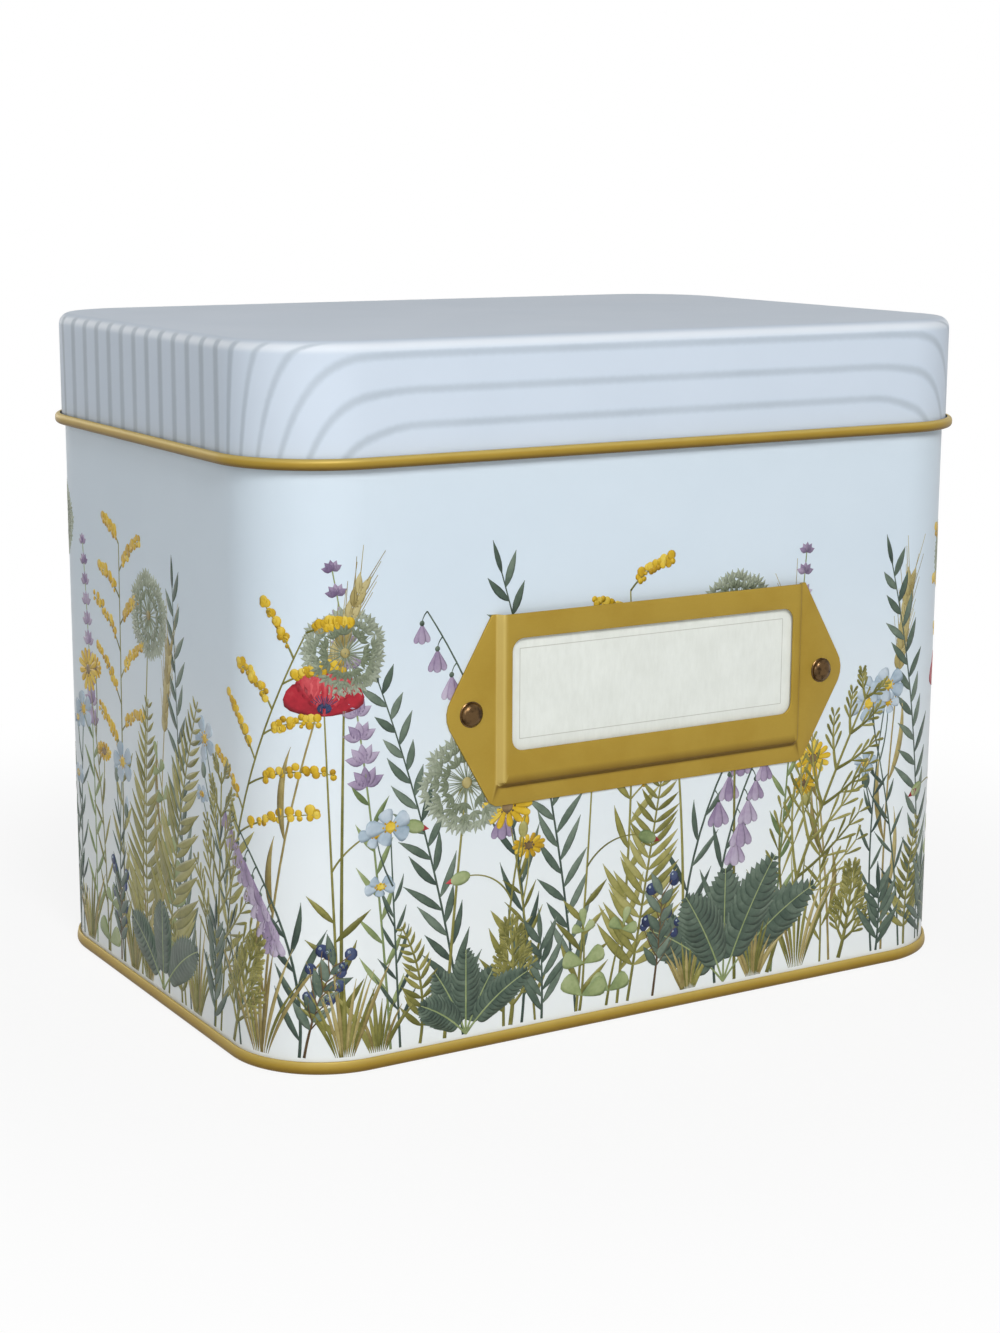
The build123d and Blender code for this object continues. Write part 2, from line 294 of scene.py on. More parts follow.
class Graph:
    """A tree of shader nodes."""

    def __init__(self, tree):
        self.tree = tree

    def node(self, kind, settings, inputs, out=0):
        """Adds a node and gives one output. Inputs are values or links, by order, number or name."""
        node = self.tree.nodes.new(kind)
        for key, setting in settings.items():
            if key == "stops":
                self.fill_ramp(node.color_ramp.elements, setting)
            else:
                setattr(node, key, setting)
        pairs = inputs.items() if isinstance(inputs, dict) else enumerate(inputs)
        for key, given in pairs:
            self.plug(node.inputs[key], given)
        return Value(self, node.outputs[out])

    def fill_ramp(self, elements, stops):
        """Each stop is a share of the ramp and a colour. A new ramp has two."""
        while len(elements) < len(stops):
            elements.new(0.5)
        for element, (share, colour) in zip(elements, stops):
            element.position = share
            element.color = (*colour, 1)

    def plug(self, socket, given):
        if isinstance(given, Value):
            self.tree.links.new(given.socket, socket)
        elif socket.type == "RGBA":
            socket.default_value = (*given, 1)
        else:
            socket.default_value = given

    def ray(self, kind):
        """1 for light paths of one kind, such as those that the camera sees."""
        return self.node("ShaderNodeLightPath", {}, [], f"Is {kind} Ray")


# %% A material under construction
class Finish(Graph):
    """A material under construction. Its place is the point on the object, in metres."""

    def __init__(self, name, **shader):
        self.material = bpy.data.materials.new(name)
        self.material.use_nodes = True
        super().__init__(self.material.node_tree)
        self.shader = self.tree.nodes["Principled BSDF"]
        self.place = self.node("ShaderNodeTexCoord", {}, [], "Object")
        self.set(**shader)

    def set(self, **shader):
        """Fills the shader's own sockets. Their names are written with underscores."""
        for key, given in shader.items():
            self.plug(self.shader.inputs[key.replace("_", " ")], given)

    def painted(self, colour):
        """Sets the colour and gives the material."""
        self.set(Base_Color=colour)
        return self.material

    def attribute(self, name):
        return self.node("ShaderNodeAttribute", {"attribute_name": name}, [], "Vector")

    def noise(self, per_metre, detail, roughness=0.5, stretch=None):
        """Clouds of a size, or streaks if the place is stretched more along one axis than another."""
        place = self.place
        if stretch:
            place = self.node("ShaderNodeMapping", {}, {"Vector": place, "Scale": stretch})
        inputs = {"Vector": place, "Scale": per_metre, "Detail": detail, "Roughness": roughness}
        return self.node("ShaderNodeTexNoise", {}, inputs, "Fac")

    def mix(self, factor, a, b):
        return self.node("ShaderNodeMix", {"data_type": "RGBA"}, {0: factor, 6: a, 7: b}, 2)

    def ramp(self, factor, stops):
        return self.node("ShaderNodeValToRGB", {"stops": stops}, [factor], "Color")

    def bump(self, height, distance, strength):
        inputs = {"Strength": strength, "Distance": distance, "Height": height}
        return self.node("ShaderNodeBump", {}, inputs, "Normal")

# %% [markdown]
# ## Finishes
#
# The tin is printed flat before it is rolled: a pale enamel ground, the inks, then a clear satin
# varnish. A faint unevenness of the ground and the varnish's fine orange peel keep it from looking
# like plastic. Inside, a thin gold lacquer lets the tinplate's rolling streaks show through. All of
# it is worked out from noise, so no finish has an edge or a size at which it breaks up. Only the
# enamel's paler foot is painted light from the floor, worked out from the height.

# %% Enamel and inside lacquer
ENAMEL_TINTS = srgb(213, 226, 236), srgb(206, 220, 231)
ENAMEL_PAINTED_FLOOR_LIGHT = srgb(231, 236, 237)
PALE_BELOW, PALE_ENDS = 15 * MM, 100 * MM
LACQUER_TINTS = srgb(186, 168, 112), srgb(214, 199, 148)
LACQUER_CLOUD = srgb(176, 154, 96)


def cloudy(finish, tints):
    """Two near tints drift into each other, as in any large printed ground."""
    return finish.mix(finish.noise(35, 4), *tints)


def varnish(finish, shine=0.22):
    """A satin clear coat whose roughness drifts, over a very shallow orange peel."""
    drift, peel = finish.noise(60, 3), finish.noise(900, 1)
    finish.set(Roughness=0.36 + 0.10 * drift, Normal=finish.bump(peel, 0.012 * MM, 0.35))
    finish.set(Specular_IOR_Level=shine, Coat_Weight=shine * 0.2, Coat_Roughness=0.22)


def enamel_finish():
    finish = Finish("printed_enamel")
    # Painted floor light: the ground turns paler towards the foot.
    paler = 1 - finish.place.part(2).step(PALE_BELOW, PALE_ENDS)
    varnish(finish)
    return finish.painted(finish.mix(paler, cloudy(finish, ENAMEL_TINTS), ENAMEL_PAINTED_FLOOR_LIGHT))


def inside_finish():
    """Tinplate under gold lacquer: streaks run round the tin, because the sheet was rolled that way."""
    finish = Finish("inside_lacquer", Metallic=0.85)
    streaks, clouds = finish.noise(1, 4, 0.6, (25, 25, 1500)), finish.noise(45, 3)
    lacquer = finish.mix(streaks, *LACQUER_TINTS)
    finish.set(Roughness=0.30 + 0.22 * streaks, Normal=finish.bump(streaks, 0.02 * MM, 0.3))
    return finish.painted(finish.mix(clouds * 0.35, lacquer, LACQUER_CLOUD))


enamel = enamel_finish()
inside_lacquer = inside_finish()
print("finishes:", enamel.name, inside_lacquer.name)

# %% [markdown]
# The hem, the base and the label holder carry a gold lacquer. It is a tinted varnish over metal,
# neither paint nor bare brass, so its finish is a little metallic and satin. Shade is painted into
# it, browner in folds and towards lower edges, and a painted highlight makes it paler on edges that
# face the light. The rivets look older, a dark bronze that is rubbed bright in places.

# %% Gold lacquer and bronze
GOLD_TINTS = srgb(172, 144, 57), srgb(158, 127, 39)
GOLD_GRAIN, GOLD_PAINTED_HIGHLIGHT, GOLD_PAINTED_SHADE = srgb(112, 84, 30), srgb(208, 186, 112), srgb(84, 56, 12)
BRONZE_TINTS = srgb(98, 76, 50), srgb(46, 33, 21)


def gold_finish():
    """The attribute's first part is a painted shade, and its second a painted highlight."""
    finish = Finish("gold_lacquer", Metallic=0.25, Specular_IOR_Level=0.2)
    finish.set(Coat_Weight=0.04, Coat_Roughness=0.3)
    clouds = finish.noise(110, 4).step(0.35, 0.75)
    grain = finish.noise(1400, 2, stretch=(1, 1, 4))
    gold = finish.mix(clouds * 0.5, *GOLD_TINTS)
    gold = finish.mix(grain * 0.12, gold, GOLD_GRAIN)
    crease = finish.attribute("crease")
    # The attribute's second part paints a highlight, and its first part paints shade.
    gold = finish.mix(crease.part(1) * 0.7, gold, GOLD_PAINTED_HIGHLIGHT)
    finish.set(Roughness=0.40 + 0.12 * grain, Normal=finish.bump(grain, 0.01 * MM, 0.5))
    return finish.painted(finish.mix(crease.part(0) * 0.75, gold, GOLD_PAINTED_SHADE))


def bronze_finish():
    finish = Finish("aged_bronze", Metallic=0.95)
    patina = finish.noise(700, 4).step(0.4, 0.7)
    scratches = finish.noise(2600, 2, stretch=(1, 1, 9))
    finish.set(Roughness=0.16 + 0.22 * patina, Normal=finish.bump(scratches, 0.015 * MM, 0.6))
    return finish.painted(finish.mix(patina, *BRONZE_TINTS))


gold = gold_finish()
bronze = bronze_finish()
print("finishes:", gold.name, bronze.name)

# %% [markdown]
# ## The wall of the tin
#
# The wall is one sheet: a hook held in the base seam, the upright band, and a safe edge curled
# inwards at the rim. A box with rounded corners would lose the hook and the curl, so the section is
# drawn once and carried round the lap. The outside of the sheet is enamelled, its inside lacquered.

# %% Carry a section round the lap
HIGHLIGHT_BAND = 1.5 * MM


def carry_round(name, middle, outside, inside, stations, capped=False):
    """Point (i, j) is the wall's at station j, moved out and up as point i of the sheet's outline says.

    The outline is middle + normal * half a sheet, and back along middle - normal * half a sheet.
    A capped section doesn't join its two faces, which end in flat plates instead.
    """
    ahead = np.gradient(middle, axis=0)
    ahead /= np.linalg.norm(ahead, axis=1, keepdims=True)
    normal = np.stack([ahead[:, 1], -ahead[:, 0]], axis=1) * HALF
    loop = np.concatenate([middle + normal, (middle - normal)[::-1]])
    points = wall_point(stations[None, :-1], loop[:, 1:2], loop[:, 0:1])
    rows, columns = points.shape[:2]
    faces = grid_faces(rows, columns, close_rows=not capped, close_columns=True)
    materials = np.arange(len(faces)) // columns >= len(middle)
    faces = faces.tolist()
    if capped:
        faces += end_faces(rows, columns)
        materials = np.concatenate([materials, [False, True]])
    return new_piece(name, points, outward(points.reshape(-1, 3), faces), [outside, inside], materials)


def paint_shade_and_highlight(piece, low, high, share):
    """Painted shade: darker towards the lower height, and a painted highlight in a band just above the upper.
    """
    height = point_array(piece)[:, 2]
    darkened = share * (1 - smooth_rise(height, low, high))
    band = smooth_rise(height, high, high + HIGHLIGHT_BAND / 3)
    painted_highlight = 0.6 * band * (1 - smooth_rise(height, high + 2 * HIGHLIGHT_BAND / 3, high + HIGHLIGHT_BAND))
    set_point_attribute(piece, "crease", darkened, painted_highlight, 0)


print("a lap of a section has", len(lap) - 1, "outlines")


# %% Wall
RIM_CURL = RIM_R - HALF
HOOK_TALL = 1.0 * MM
HOOK_BEND = 0.25 * MM
hook_u = 2 * SEAM_PLAY + 1.5 * SHEET
hook_z = SHEET + SEAM_PLAY + HALF
hook_line = [(hook_u, hook_z + HOOK_TALL), (hook_u, hook_z), (-HALF, hook_z), (-HALF, SEAM_H)]
hook = bend(hook_line, [HOOK_BEND] * 2, per_bend=5)
upright = np.stack([np.full(10, -HALF), np.linspace(SEAM_H * 1.5, RIM_Z - 2 * MM, 10)], axis=1)
rim_curl = curl((-HALF - RIM_CURL, RIM_Z - RIM_R), RIM_CURL, start=0, turn=280)
wall_line = np.concatenate([hook, upright, rim_curl])
wall = carry_round("printed_wall", wall_line, enamel, inside_lacquer, lap)
dress(wall, "tin", "body_enamel", "body_shell")
print("wall:", len(wall.data.polygons), "faces")

# %% [markdown]
# A flat folded seam locks the band's two ends together down the back. Inside it is a raised strip.
# Outside only a hairline shows, where one layer tucks under the other. Both are thin strips that
# follow the wall, because the folds between the layers can't be seen.

# %% Lock seam
SEAM_SPAN = 4.6 * MM, RIM_Z - 3.0 * MM
SUNK = 0.1 * MM


def ridge(name, material, face_y, toward, half_width, rise):
    """A low bar up the wall, whose section is rise * (1 - |x / half_width| ** 6)."""
    across = np.linspace(-1, 1, 17)
    lift = np.concatenate([rise * (1 - np.abs(across) ** 6), [-SUNK, -SUNK]])
    x = np.concatenate([across, [1, -1]]) * half_width
    z = np.linspace(*SEAM_SPAN, 12)[:, None]
    points = np.stack(np.broadcast_arrays(x, face_y + toward * lift, z), axis=-1)
    rows, columns = points.shape[:2]
    faces = grid_faces(rows, columns, close_columns=True).tolist() + end_faces(rows, columns)
    piece = new_piece(name, points, outward(points.reshape(-1, 3), faces), [material])
    dress(piece, "tin", "body_enamel")


inner_face, outer_face = WALL_D / 2 - SHEET, WALL_D / 2
ridge("lock_seam_inside", inside_lacquer, inner_face, -1, half_width=2.5 * MM, rise=0.6 * MM)
ridge("lock_seam_lip", enamel, outer_face, 1, half_width=0.16 * MM, rise=0.05 * MM)
print("lock seam is", round((SEAM_SPAN[1] - SEAM_SPAN[0]) / MM), "mm long")

# %% [markdown]
# ## The base and its double seam
#
# The base is hooked round the wall's own hook and rolled flat, which makes the gold band round the
# foot. Its middle is raised a little, so that the sheet doesn't drum. It is a bent sheet as the
# wall is, so it is carried round the lap in the same way, and two flat plates close its middle.

# %% Base
PANEL_IN = 7.0 * MM
PANEL_RISE = 0.6 * MM
HOOK_DOWN = 1.5 * MM
SHOULDER_Z = 1.3 * MM
SHOULDER_IN = 0.26 * MM
BASE_RADII = np.array([0.5, 0.5, 0.4, 0.4, 0.7, 1.8, 0.14, 0.14]) * MM
chuck_u = -2 * SHEET - SEAM_PLAY + HALF
outer_u = SEAM_OUT - HALF
inner_u = SEAM_PLAY + HALF
panel_z = SEAM_H - HALF
step_u = -SHEET - PANEL_IN
base_corners = [
    (step_u - 2 * PANEL_RISE, panel_z + PANEL_RISE),
    (step_u - PANEL_RISE, panel_z + PANEL_RISE),
    (step_u, panel_z),
    (chuck_u, panel_z),
    (chuck_u, HALF),
    (outer_u, HALF),
    (outer_u, SHOULDER_Z),
    (outer_u - SHOULDER_IN, panel_z),
    (inner_u, panel_z),
    (inner_u, panel_z - HOOK_DOWN),
]
base_line = bend(base_corners, BASE_RADII)
base = carry_round("seamed_base", base_line, gold, inside_lacquer, lap, capped=True)
dress(base, "tin", "gold_lacquer", "base_panel")
# Painted shade darkens the seam band towards the floor, and a painted highlight lies along its top.
paint_shade_and_highlight(base, low=0.5 * MM, high=1.9 * MM, share=0.85)
print("base:", len(base.data.polygons), "faces")

# %% [markdown]
# ## The lid and its pinstripes
#
# The lid is drawn from a printed sheet. Its stripes were straight on that sheet, and the draw
# pulled them down: they fall as upright lines on the short sides, bend round the corners and lie
# level on the long sides. So the pattern isn't drawn on the lid at all. Each point stores where it
# lay on the flat sheet, and the material reads that place. The hem is rolled outwards, so what it
# shows is the gold inside of the sheet.

# %% Where a point of the lid lay on the flat sheet
DRAW_RADIUS = 20.5 * MM
EDGE_STRETCH = 1.5 * MM
BEND_FROM, LEVEL_FROM = 18 * MM, 42 * MM
SHORT_SIDE_FADE = 10 * MM


def flat_place(points, walk):
    """y moves outwards by the gain, which is the depth below the top and a little stretch at the edge.

    At a corner it is (sqrt(radius^2 + 2 * radius * gain) - radius) * sin(turn), because the ring of
    sheet there was wider before it was drawn. Along the long side that blends into all of the gain.
    """
    depth = np.clip(LID_TOP - points[:, 2], 0, None)
    gain = depth + EDGE_STRETCH * smooth_rise(depth, 0, LID_EDGE_R)
    s = np.abs(walk)
    past_front = HALF_FRONT + ARC - s
    past_back = s - (HALF_FRONT + ARC + 2 * HALF_SIDE)
    into_corner = np.clip(np.maximum(past_front, past_back), 0, None)
    turn = np.clip(into_corner / DRAW_RADIUS, 0, np.pi / 2)
    spread = (np.sqrt(DRAW_RADIUS**2 + 2 * DRAW_RADIUS * gain) - DRAW_RADIUS) * np.sin(turn)
    on_long_side = smooth_rise(into_corner, BEND_FROM, LEVEL_FROM)
    moved = (1 - on_long_side) * spread + on_long_side * gain
    flat_y = points[:, 1] + np.where(past_front > past_back, -1, 1) * moved
    return points[:, 0], flat_y, 1 - smooth_rise(into_corner, 0, SHORT_SIDE_FADE)


print("the stripes lie level from", LEVEL_FROM / MM, "mm past a corner's start")


# %% Pinstriped enamel
LID_TINTS = srgb(210, 221, 234), srgb(203, 215, 228)
STRIPE_GREY = srgb(171, 183, 194)
PAINTED_EDGE_WHITE = srgb(238, 243, 248)
STRIPE_PITCH = 6.6 * MM
STRIPE_START = 35.0 * MM
STRIPE_CORE, STRIPE_EDGE = 0.6 * MM, 1.75 * MM
RAGGED, WIDER = 0.3 * MM, 0.35 * MM


def striped_finish():
    """Grey lines with ragged edges, wider and darker on the short sides, below a painted highlight along the
    top edge.
    """
    finish = Finish("pinstriped_enamel")
    flat, height = finish.attribute("flat_sheet"), finish.place.part(2)
    flat_y, short_side = flat.part(1), flat.part(2)
    off_line = (flat_y - STRIPE_START).maths("PINGPONG", STRIPE_PITCH / 2)
    ragged = finish.noise(900, 2) * RAGGED - short_side * WIDER
    line = 1 - (off_line + ragged + WIDER).step(STRIPE_CORE, STRIPE_EDGE)
    below_edge = 1 - height.step(LID_TOP - 1.0 * MM, LID_TOP - 0.1 * MM)
    faded = (finish.noise(70, 2) * 0.35 + 0.42 + short_side * 0.15) * below_edge
    # Painted highlight: a paler band along the lid's rounded top edge.
    painted_edge_highlight = height.step(LID_TOP - 2.6 * MM, LID_TOP - 1.2 * MM) * below_edge
    ground = finish.mix(painted_edge_highlight * 0.6, cloudy(finish, LID_TINTS), PAINTED_EDGE_WHITE)
    varnish(finish, 0.06)
    return finish.painted(finish.mix(line * faded, ground, STRIPE_GREY))


pinstripes = striped_finish()
print("stripes every", STRIPE_PITCH / MM, "mm")

# %% Lid
HEM_CURL = HEM_R - HALF
TOP_RUN, SKIRT_LOW = 8 * MM, HEM_Z + 2 * MM
skirt_u = LID_PLAY + HALF
hem_u = skirt_u + HEM_CURL
lid_stations = walk_stations(per_corner=36, step=3 * MM)
lid_corners = [(-TOP_RUN, LID_TOP - HALF), (skirt_u, LID_TOP - HALF), (skirt_u, SKIRT_LOW)]
drawn = bend(lid_corners, [LID_EDGE_R - HALF], per_bend=12)
skirt_rows = np.linspace(drawn[-2], drawn[-1], 24)
hem_low = curl((hem_u, HEM_Z), HEM_CURL, start=180, turn=180, count=18)
hem_high = curl((hem_u, HEM_Z + HEM_TALL), HEM_CURL, start=0, turn=105, count=12)
lid_line = np.concatenate([drawn[:-2], skirt_rows, hem_low, hem_high])
lid = carry_round("drawn_lid", lid_line, gold, pinstripes, lid_stations, capped=True)
dress(lid, "lid", "lid_enamel", "lid_shell")
# Painted shade darkens the lower half of the hem, and a painted highlight lies along its top.
paint_shade_and_highlight(lid, low=HEM_Z - 0.6 * MM, high=HEM_Z + 0.5 * MM, share=1.0)
lid_walk = np.tile(lid_stations[:-1], 2 * len(lid_line))
set_point_attribute(lid, "flat_sheet", *flat_place(point_array(lid), lid_walk))
print("lid:", len(lid.data.polygons), "faces")

# %% [markdown]
# ## The label holder
#
# The holder is one pressed sheet: a flange with pointed ends, and a pocket raised on three sides
# that is open at the top, so that the label drops in. A box cut out by a Boolean would have sharp
# steps, where a press leaves slopes. So its front face is worked out in two strips of points. One
# runs down the left side, along the foot and up the right side, and climbs from the flange to the
# pocket's face. The other closes the face in to the window. Solidify then gives the sheet its
# thickness, and a fine Bevel breaks the cut edges, where the light catches.

# %% Holder sizes
PLATE = 0.5 * MM
POCKET_RISE = 1.3 * MM
FACE_OUT = PLATE + POCKET_RISE
STEP_RUN = 0.95 * MM
holder_low, holder_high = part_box("label_holder")
HOLDER_FOOT, HOLDER_TOP = holder_low.z, holder_high.z
HOLDER_Z = (HOLDER_TOP + HOLDER_FOOT) / 2
POCKET_HALF = 37.2 * MM
POCKET_FOOT = HOLDER_FOOT + 3.6 * MM
POCKET_R = 2.0 * MM
OUTLINE_HALF = POCKET_HALF + 1.0 * MM
OUTLINE_R = 0.9 * MM
RAW_TIP = OUTLINE_HALF + 11.0 * MM
TIP_R = 6.0 * MM
WINDOW_HALF = POCKET_HALF - 2.9 * MM
WINDOW_LOW = POCKET_FOOT + 7.4 * MM
WINDOW_HIGH = HOLDER_TOP - 4.9 * MM
WINDOW_R = 2.6 * MM
SIDE_POINTS, FOOT_POINTS, BEND_POINTS = 24, 30, 7


def tip_x(z):
    """The pointed end: a straight slope from corner to tip, rounded by a circle that touches both slopes."""
    slope = np.arctan2(HOLDER_TOP - HOLDER_Z, RAW_TIP - OUTLINE_HALF)
    off = np.abs(z - HOLDER_Z)
    centre = RAW_TIP - TIP_R / np.sin(slope)
    round_end = centre + np.sqrt(np.clip(TIP_R**2 - off**2, 0, None))
    return np.where(off < TIP_R * np.cos(slope), round_end, RAW_TIP - off / np.tan(slope))


print(f"holder {2 * holder_high.x / MM:.1f} mm across, window {2 * WINDOW_HALF / MM:.1f} mm")


# %% Holder front
def quarter(centre_x, centre_z, radius, start):
    """A quarter circle in X and Z, walked anticlockwise from its first angle in degrees."""
    return curl((centre_x, centre_z), radius, start, 90, BEND_POINTS)


def line_between(start, end, count):
    """Even points from start up to, but not at, the end."""
    share = np.linspace(0, 1, count, endpoint=False)[:, None]
    return np.array(start) * (1 - share) + np.array(end) * share


def around_three_sides(half, top, foot, radius):
    """Down the left side, round a corner, along the foot, round the next and up the right side."""
    left = line_between((-half, top), (-half, foot + radius), SIDE_POINTS)
    left_turn = quarter(-half + radius, foot + radius, radius, 180)
    along = line_between((-half + radius, foot), (half - radius, foot), FOOT_POINTS)[1:]
    right_turn = quarter(half - radius, foot + radius, radius, 270)
    right = line_between((half, foot + radius), (half, top), SIDE_POINTS)[1:]
    return np.concatenate([left, left_turn, along, right_turn, right, [[half, top]]])


def pocket_walk(inset):
    return around_three_sides(POCKET_HALF - inset, HOLDER_TOP, POCKET_FOOT + inset, POCKET_R - inset)


def outline_walk():
    """The flange's outline, with the same number of points in each stretch as the pocket's walk."""
    z = np.linspace(HOLDER_TOP, HOLDER_FOOT + OUTLINE_R, SIDE_POINTS + 1)
    left = np.stack([-tip_x(z), z], axis=1)
    foot = np.array([OUTLINE_R - OUTLINE_HALF, HOLDER_FOOT])
    left_turn = np.linspace(left[-1], foot, BEND_POINTS)
    half_outline = np.concatenate([left[:-1], left_turn])
    along = line_between(foot, foot * [-1, 1], FOOT_POINTS)[1:]
    return np.concatenate([half_outline, along, (half_outline * [-1, 1])[::-1]])


def window_walk():
    """The window's outline, starting at its top left and going the way the pocket's walk goes."""
    half, radius, top = WINDOW_HALF, WINDOW_R, WINDOW_HIGH
    sides = around_three_sides(half, top - radius, WINDOW_LOW, radius)
    top_right = quarter(half - radius, top - radius, radius, 0)[1:]
    along = line_between((half - radius, top), (-half + radius, top), FOOT_POINTS)[1:]
    top_left = quarter(-half + radius, top - radius, radius, 90)[:-1]
    return np.concatenate([sides, top_right, along, top_left])


def face_walk(inset):
    """The pocket's walk, closed along the open top, with a point for each one of the window's walk."""
    sides = pocket_walk(inset)
    right, left, near = sides[-1], sides[0], np.array([3.0 * MM, 0])
    first = np.linspace(right, right - near, BEND_POINTS)[1:]
    top = line_between(right - near, left + near, FOOT_POINTS)[1:]
    last = np.linspace(left + near, left, BEND_POINTS)[:-1]
    return np.concatenate([sides, first, top, last])


def off_the_wall(walk, out):
    """Points in X and Z, moved out from the front of the wall."""
    return np.insert(walk, 1, FRONT_Y - out, axis=1)


print("walks:", len(outline_walk()), "points outside,", len(window_walk()), "round the window")


# %% Press the holder
slope = [(-0.5 * MM, PLATE), (0, PLATE), (STEP_RUN, FACE_OUT), (3 * MM, FACE_OUT)]
pressed_step = bend(slope, [0.3 * MM, 0.6 * MM], 6)[:-1]
strip = [off_the_wall(outline_walk(), PLATE)]
strip += [off_the_wall(pocket_walk(inset), out) for inset, out in pressed_step]
outer, inner = face_walk(pressed_step[-1, 0]), window_walk()
# The face blends from the pocket's walk into the window's.
face = [off_the_wall(outer * (1 - share) + inner * share, FACE_OUT) for share in (0, 0.25, 0.6, 1)]
strip_faces = grid_faces(len(strip), len(strip[0]))
face_faces = grid_faces(len(face), len(outer), close_columns=True) + len(strip) * len(strip[0])
holder_faces = np.concatenate([strip_faces, face_faces]).tolist()
holder = new_piece("pressed_label_holder", np.concatenate(strip + face), holder_faces, [gold])
merge_doubles(holder, toward=Vector((0, -1, 0)))

x, _, z = point_array(holder).T
from_side, from_foot = POCKET_HALF - np.abs(x), z - POCKET_FOOT
inset = np.minimum(from_side, from_foot)
on_slope = smooth_rise(inset, -0.3 * MM, 0.1 * MM) * (1 - smooth_rise(inset, 1.0 * MM, 1.9 * MM))
at_foot, at_right = from_foot < from_side, x > 0
# Painted shade on the pocket's foot, fainter on its right slope, and a painted highlight on its left slope.
darkened = on_slope * np.where(at_foot, 1.0, np.where(at_right, 0.3, 0))
set_point_attribute(holder, "crease", darkened, on_slope * np.where(at_foot | at_right, 0, 0.9), 0)

thicken = holder.modifiers.new("sheet", "SOLIDIFY")
thicken.thickness = PLATE
thicken.offset = -1
thicken.use_even_offset = True
soften = holder.modifiers.new("cut_edges", "BEVEL")
soften.width = 0.1 * MM
soften.segments = 2
soften.limit_method = "ANGLE"
soften.angle_limit = np.radians(50)
dress(holder, "tin", "gold_lacquer", "label_holder")
print("holder:", len(holder.data.polygons), "faces before its sheet is thickened")

# %% [markdown]
# ## Rivets
#
# Two domed rivets clinch the holder to the wall. A rivet is turned, so it is a profile spun round
# its axis: the dome, the thin lip that the punch leaves round it, the shank, and the tail that is
# spread inside the tin.

# %% Rivets
HEAD_R, HEAD_H, LIP = 2.35 * MM, 1.36 * MM, 0.22 * MM
TAIL_RADII = [2.5, 2.6, 2.6, 1.0, 1.0, 1.7, 1.8, 1.75, 1.5, 0.6, 0.0]
TAIL_OUT = [0.66, 0.58, 0.52, 0.51, -0.24, -0.26, -0.36, -0.7, -0.83, -0.84, -0.84]
dome = np.linspace(0, 1, 14) * np.pi / 2
rivet_radius = np.concatenate([HEAD_R * np.sin(dome), np.array(TAIL_RADII) * MM])[:, None]
rivet_out = np.concatenate([PLATE + LIP + (HEAD_H - LIP) * np.cos(dome), np.array(TAIL_OUT) * MM])[:, None]
spin = np.linspace(0, 2 * np.pi, 40, endpoint=False)
# A point is the middle of the rivet + radius * (cos, sin), as far out of the wall as the profile says.
for side in ("left", "right"):
    low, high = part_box(f"rivet_{side}")
    rivet_x = (low.x + high.x) / 2 + rivet_radius * np.cos(spin)
    rivet_z = (low.z + high.z) / 2 + rivet_radius * np.sin(spin)
    points = np.stack(np.broadcast_arrays(rivet_x, FRONT_Y - rivet_out, rivet_z), axis=-1)
    faces = grid_faces(*points.shape[:2], close_columns=True).tolist()
    rivet = new_piece(f"domed_rivet_{side}", points, faces, [bronze])
    merge_doubles(rivet)
    dress(rivet, "tin", "rivet_bronze", f"rivet_{side}")
    print(rivet.name, "at x", round((low.x + high.x) / 2 / MM, 1), "mm")

# %% [markdown]
# ## The print
#
# A meadow is printed all round the wall: stems rise from the foot, dense below and open above, and
# the top strip stays bare. On a real tin the inks lie on the ground in very thin layers. Here each
# brush stroke is such a layer too, a flat closed solid that follows the wall round its corners, and
# each new stroke lies a hair above the last, as it would on paper. Strokes stay crisp at any
# distance, which a painted grid would not, and one stroke has only a few dozen faces.

# %% A brush that works on the wall
FOOT = 3.3
FIRST_RISE = 0.03
LAYER = 0.0002
INK_BELOW = -0.03
FINEST = 0.05
FOUR_ACROSS, SIX_ACROSS = 0.7, 2.2
SHORT, MIDDLING = 3.2, 13


class Brush:
    """Collects strokes by ink. Its lines and widths are in millimetres along the wall and up it."""

    def __init__(self):
        self.strokes = {}
        self.rise = FIRST_RISE

    def stroke(self, ink, line, width, shape, tone=None):
        """A stroke along a line. Its half-width is the width * the shape, from the foot to the tip."""
        tone = about(0.1, 0.9) if tone is None else tone
        across = 2 + 2 * (width > FOUR_ACROSS) + 2 * (width > SIX_ACROSS)
        half_width = np.maximum(width * shape(spaced(len(line))), FINEST)
        self.strokes.setdefault((ink, len(line), across), []).append((line, half_width, self.rise, tone))
        self.rise += LAYER


def spaced(count):
    """(1 - cos(angle)) / 2: from 0 to 1, closer together at both ends, so that a tip comes out round."""
    return (1 - np.cos(np.linspace(0, np.pi, count))) / 2


def along_heading(degrees):
    return np.stack([np.cos(np.radians(degrees)), np.sin(np.radians(degrees))], axis=-1)


def draw_line(start, heading, length, turn=0.0):
    """A line that turns evenly from its first heading, where 90 degrees is straight up the wall."""
    count = 6 if length < SHORT else 9 if length < MIDDLING else 26
    shares = spaced(count)
    headings = heading + turn * (shares[1:] + shares[:-1]) / 2
    steps = along_heading(headings) * (length * np.diff(shares))[:, None]
    return np.array(start) + np.concatenate([[[0, 0]], np.cumsum(steps, axis=0)])


def at(line, share):
    """The point at a share of the line, and the line's heading there in degrees."""
    place = np.interp(share, spaced(len(line)), np.arange(len(line)))
    low = min(int(place), len(line) - 2)
    ahead = line[low + 1] - line[low]
    return line[low] + ahead * (place - low), np.degrees(np.arctan2(ahead[1], ahead[0]))


def along(line, low, high, count):
    """Even shares of a line, each with its point and heading."""
    for share in np.linspace(low, high, count):
        yield share, *at(line, share)


print("a stem 60 mm tall has", len(draw_line((0, FOOT), 90, 60)), "points")


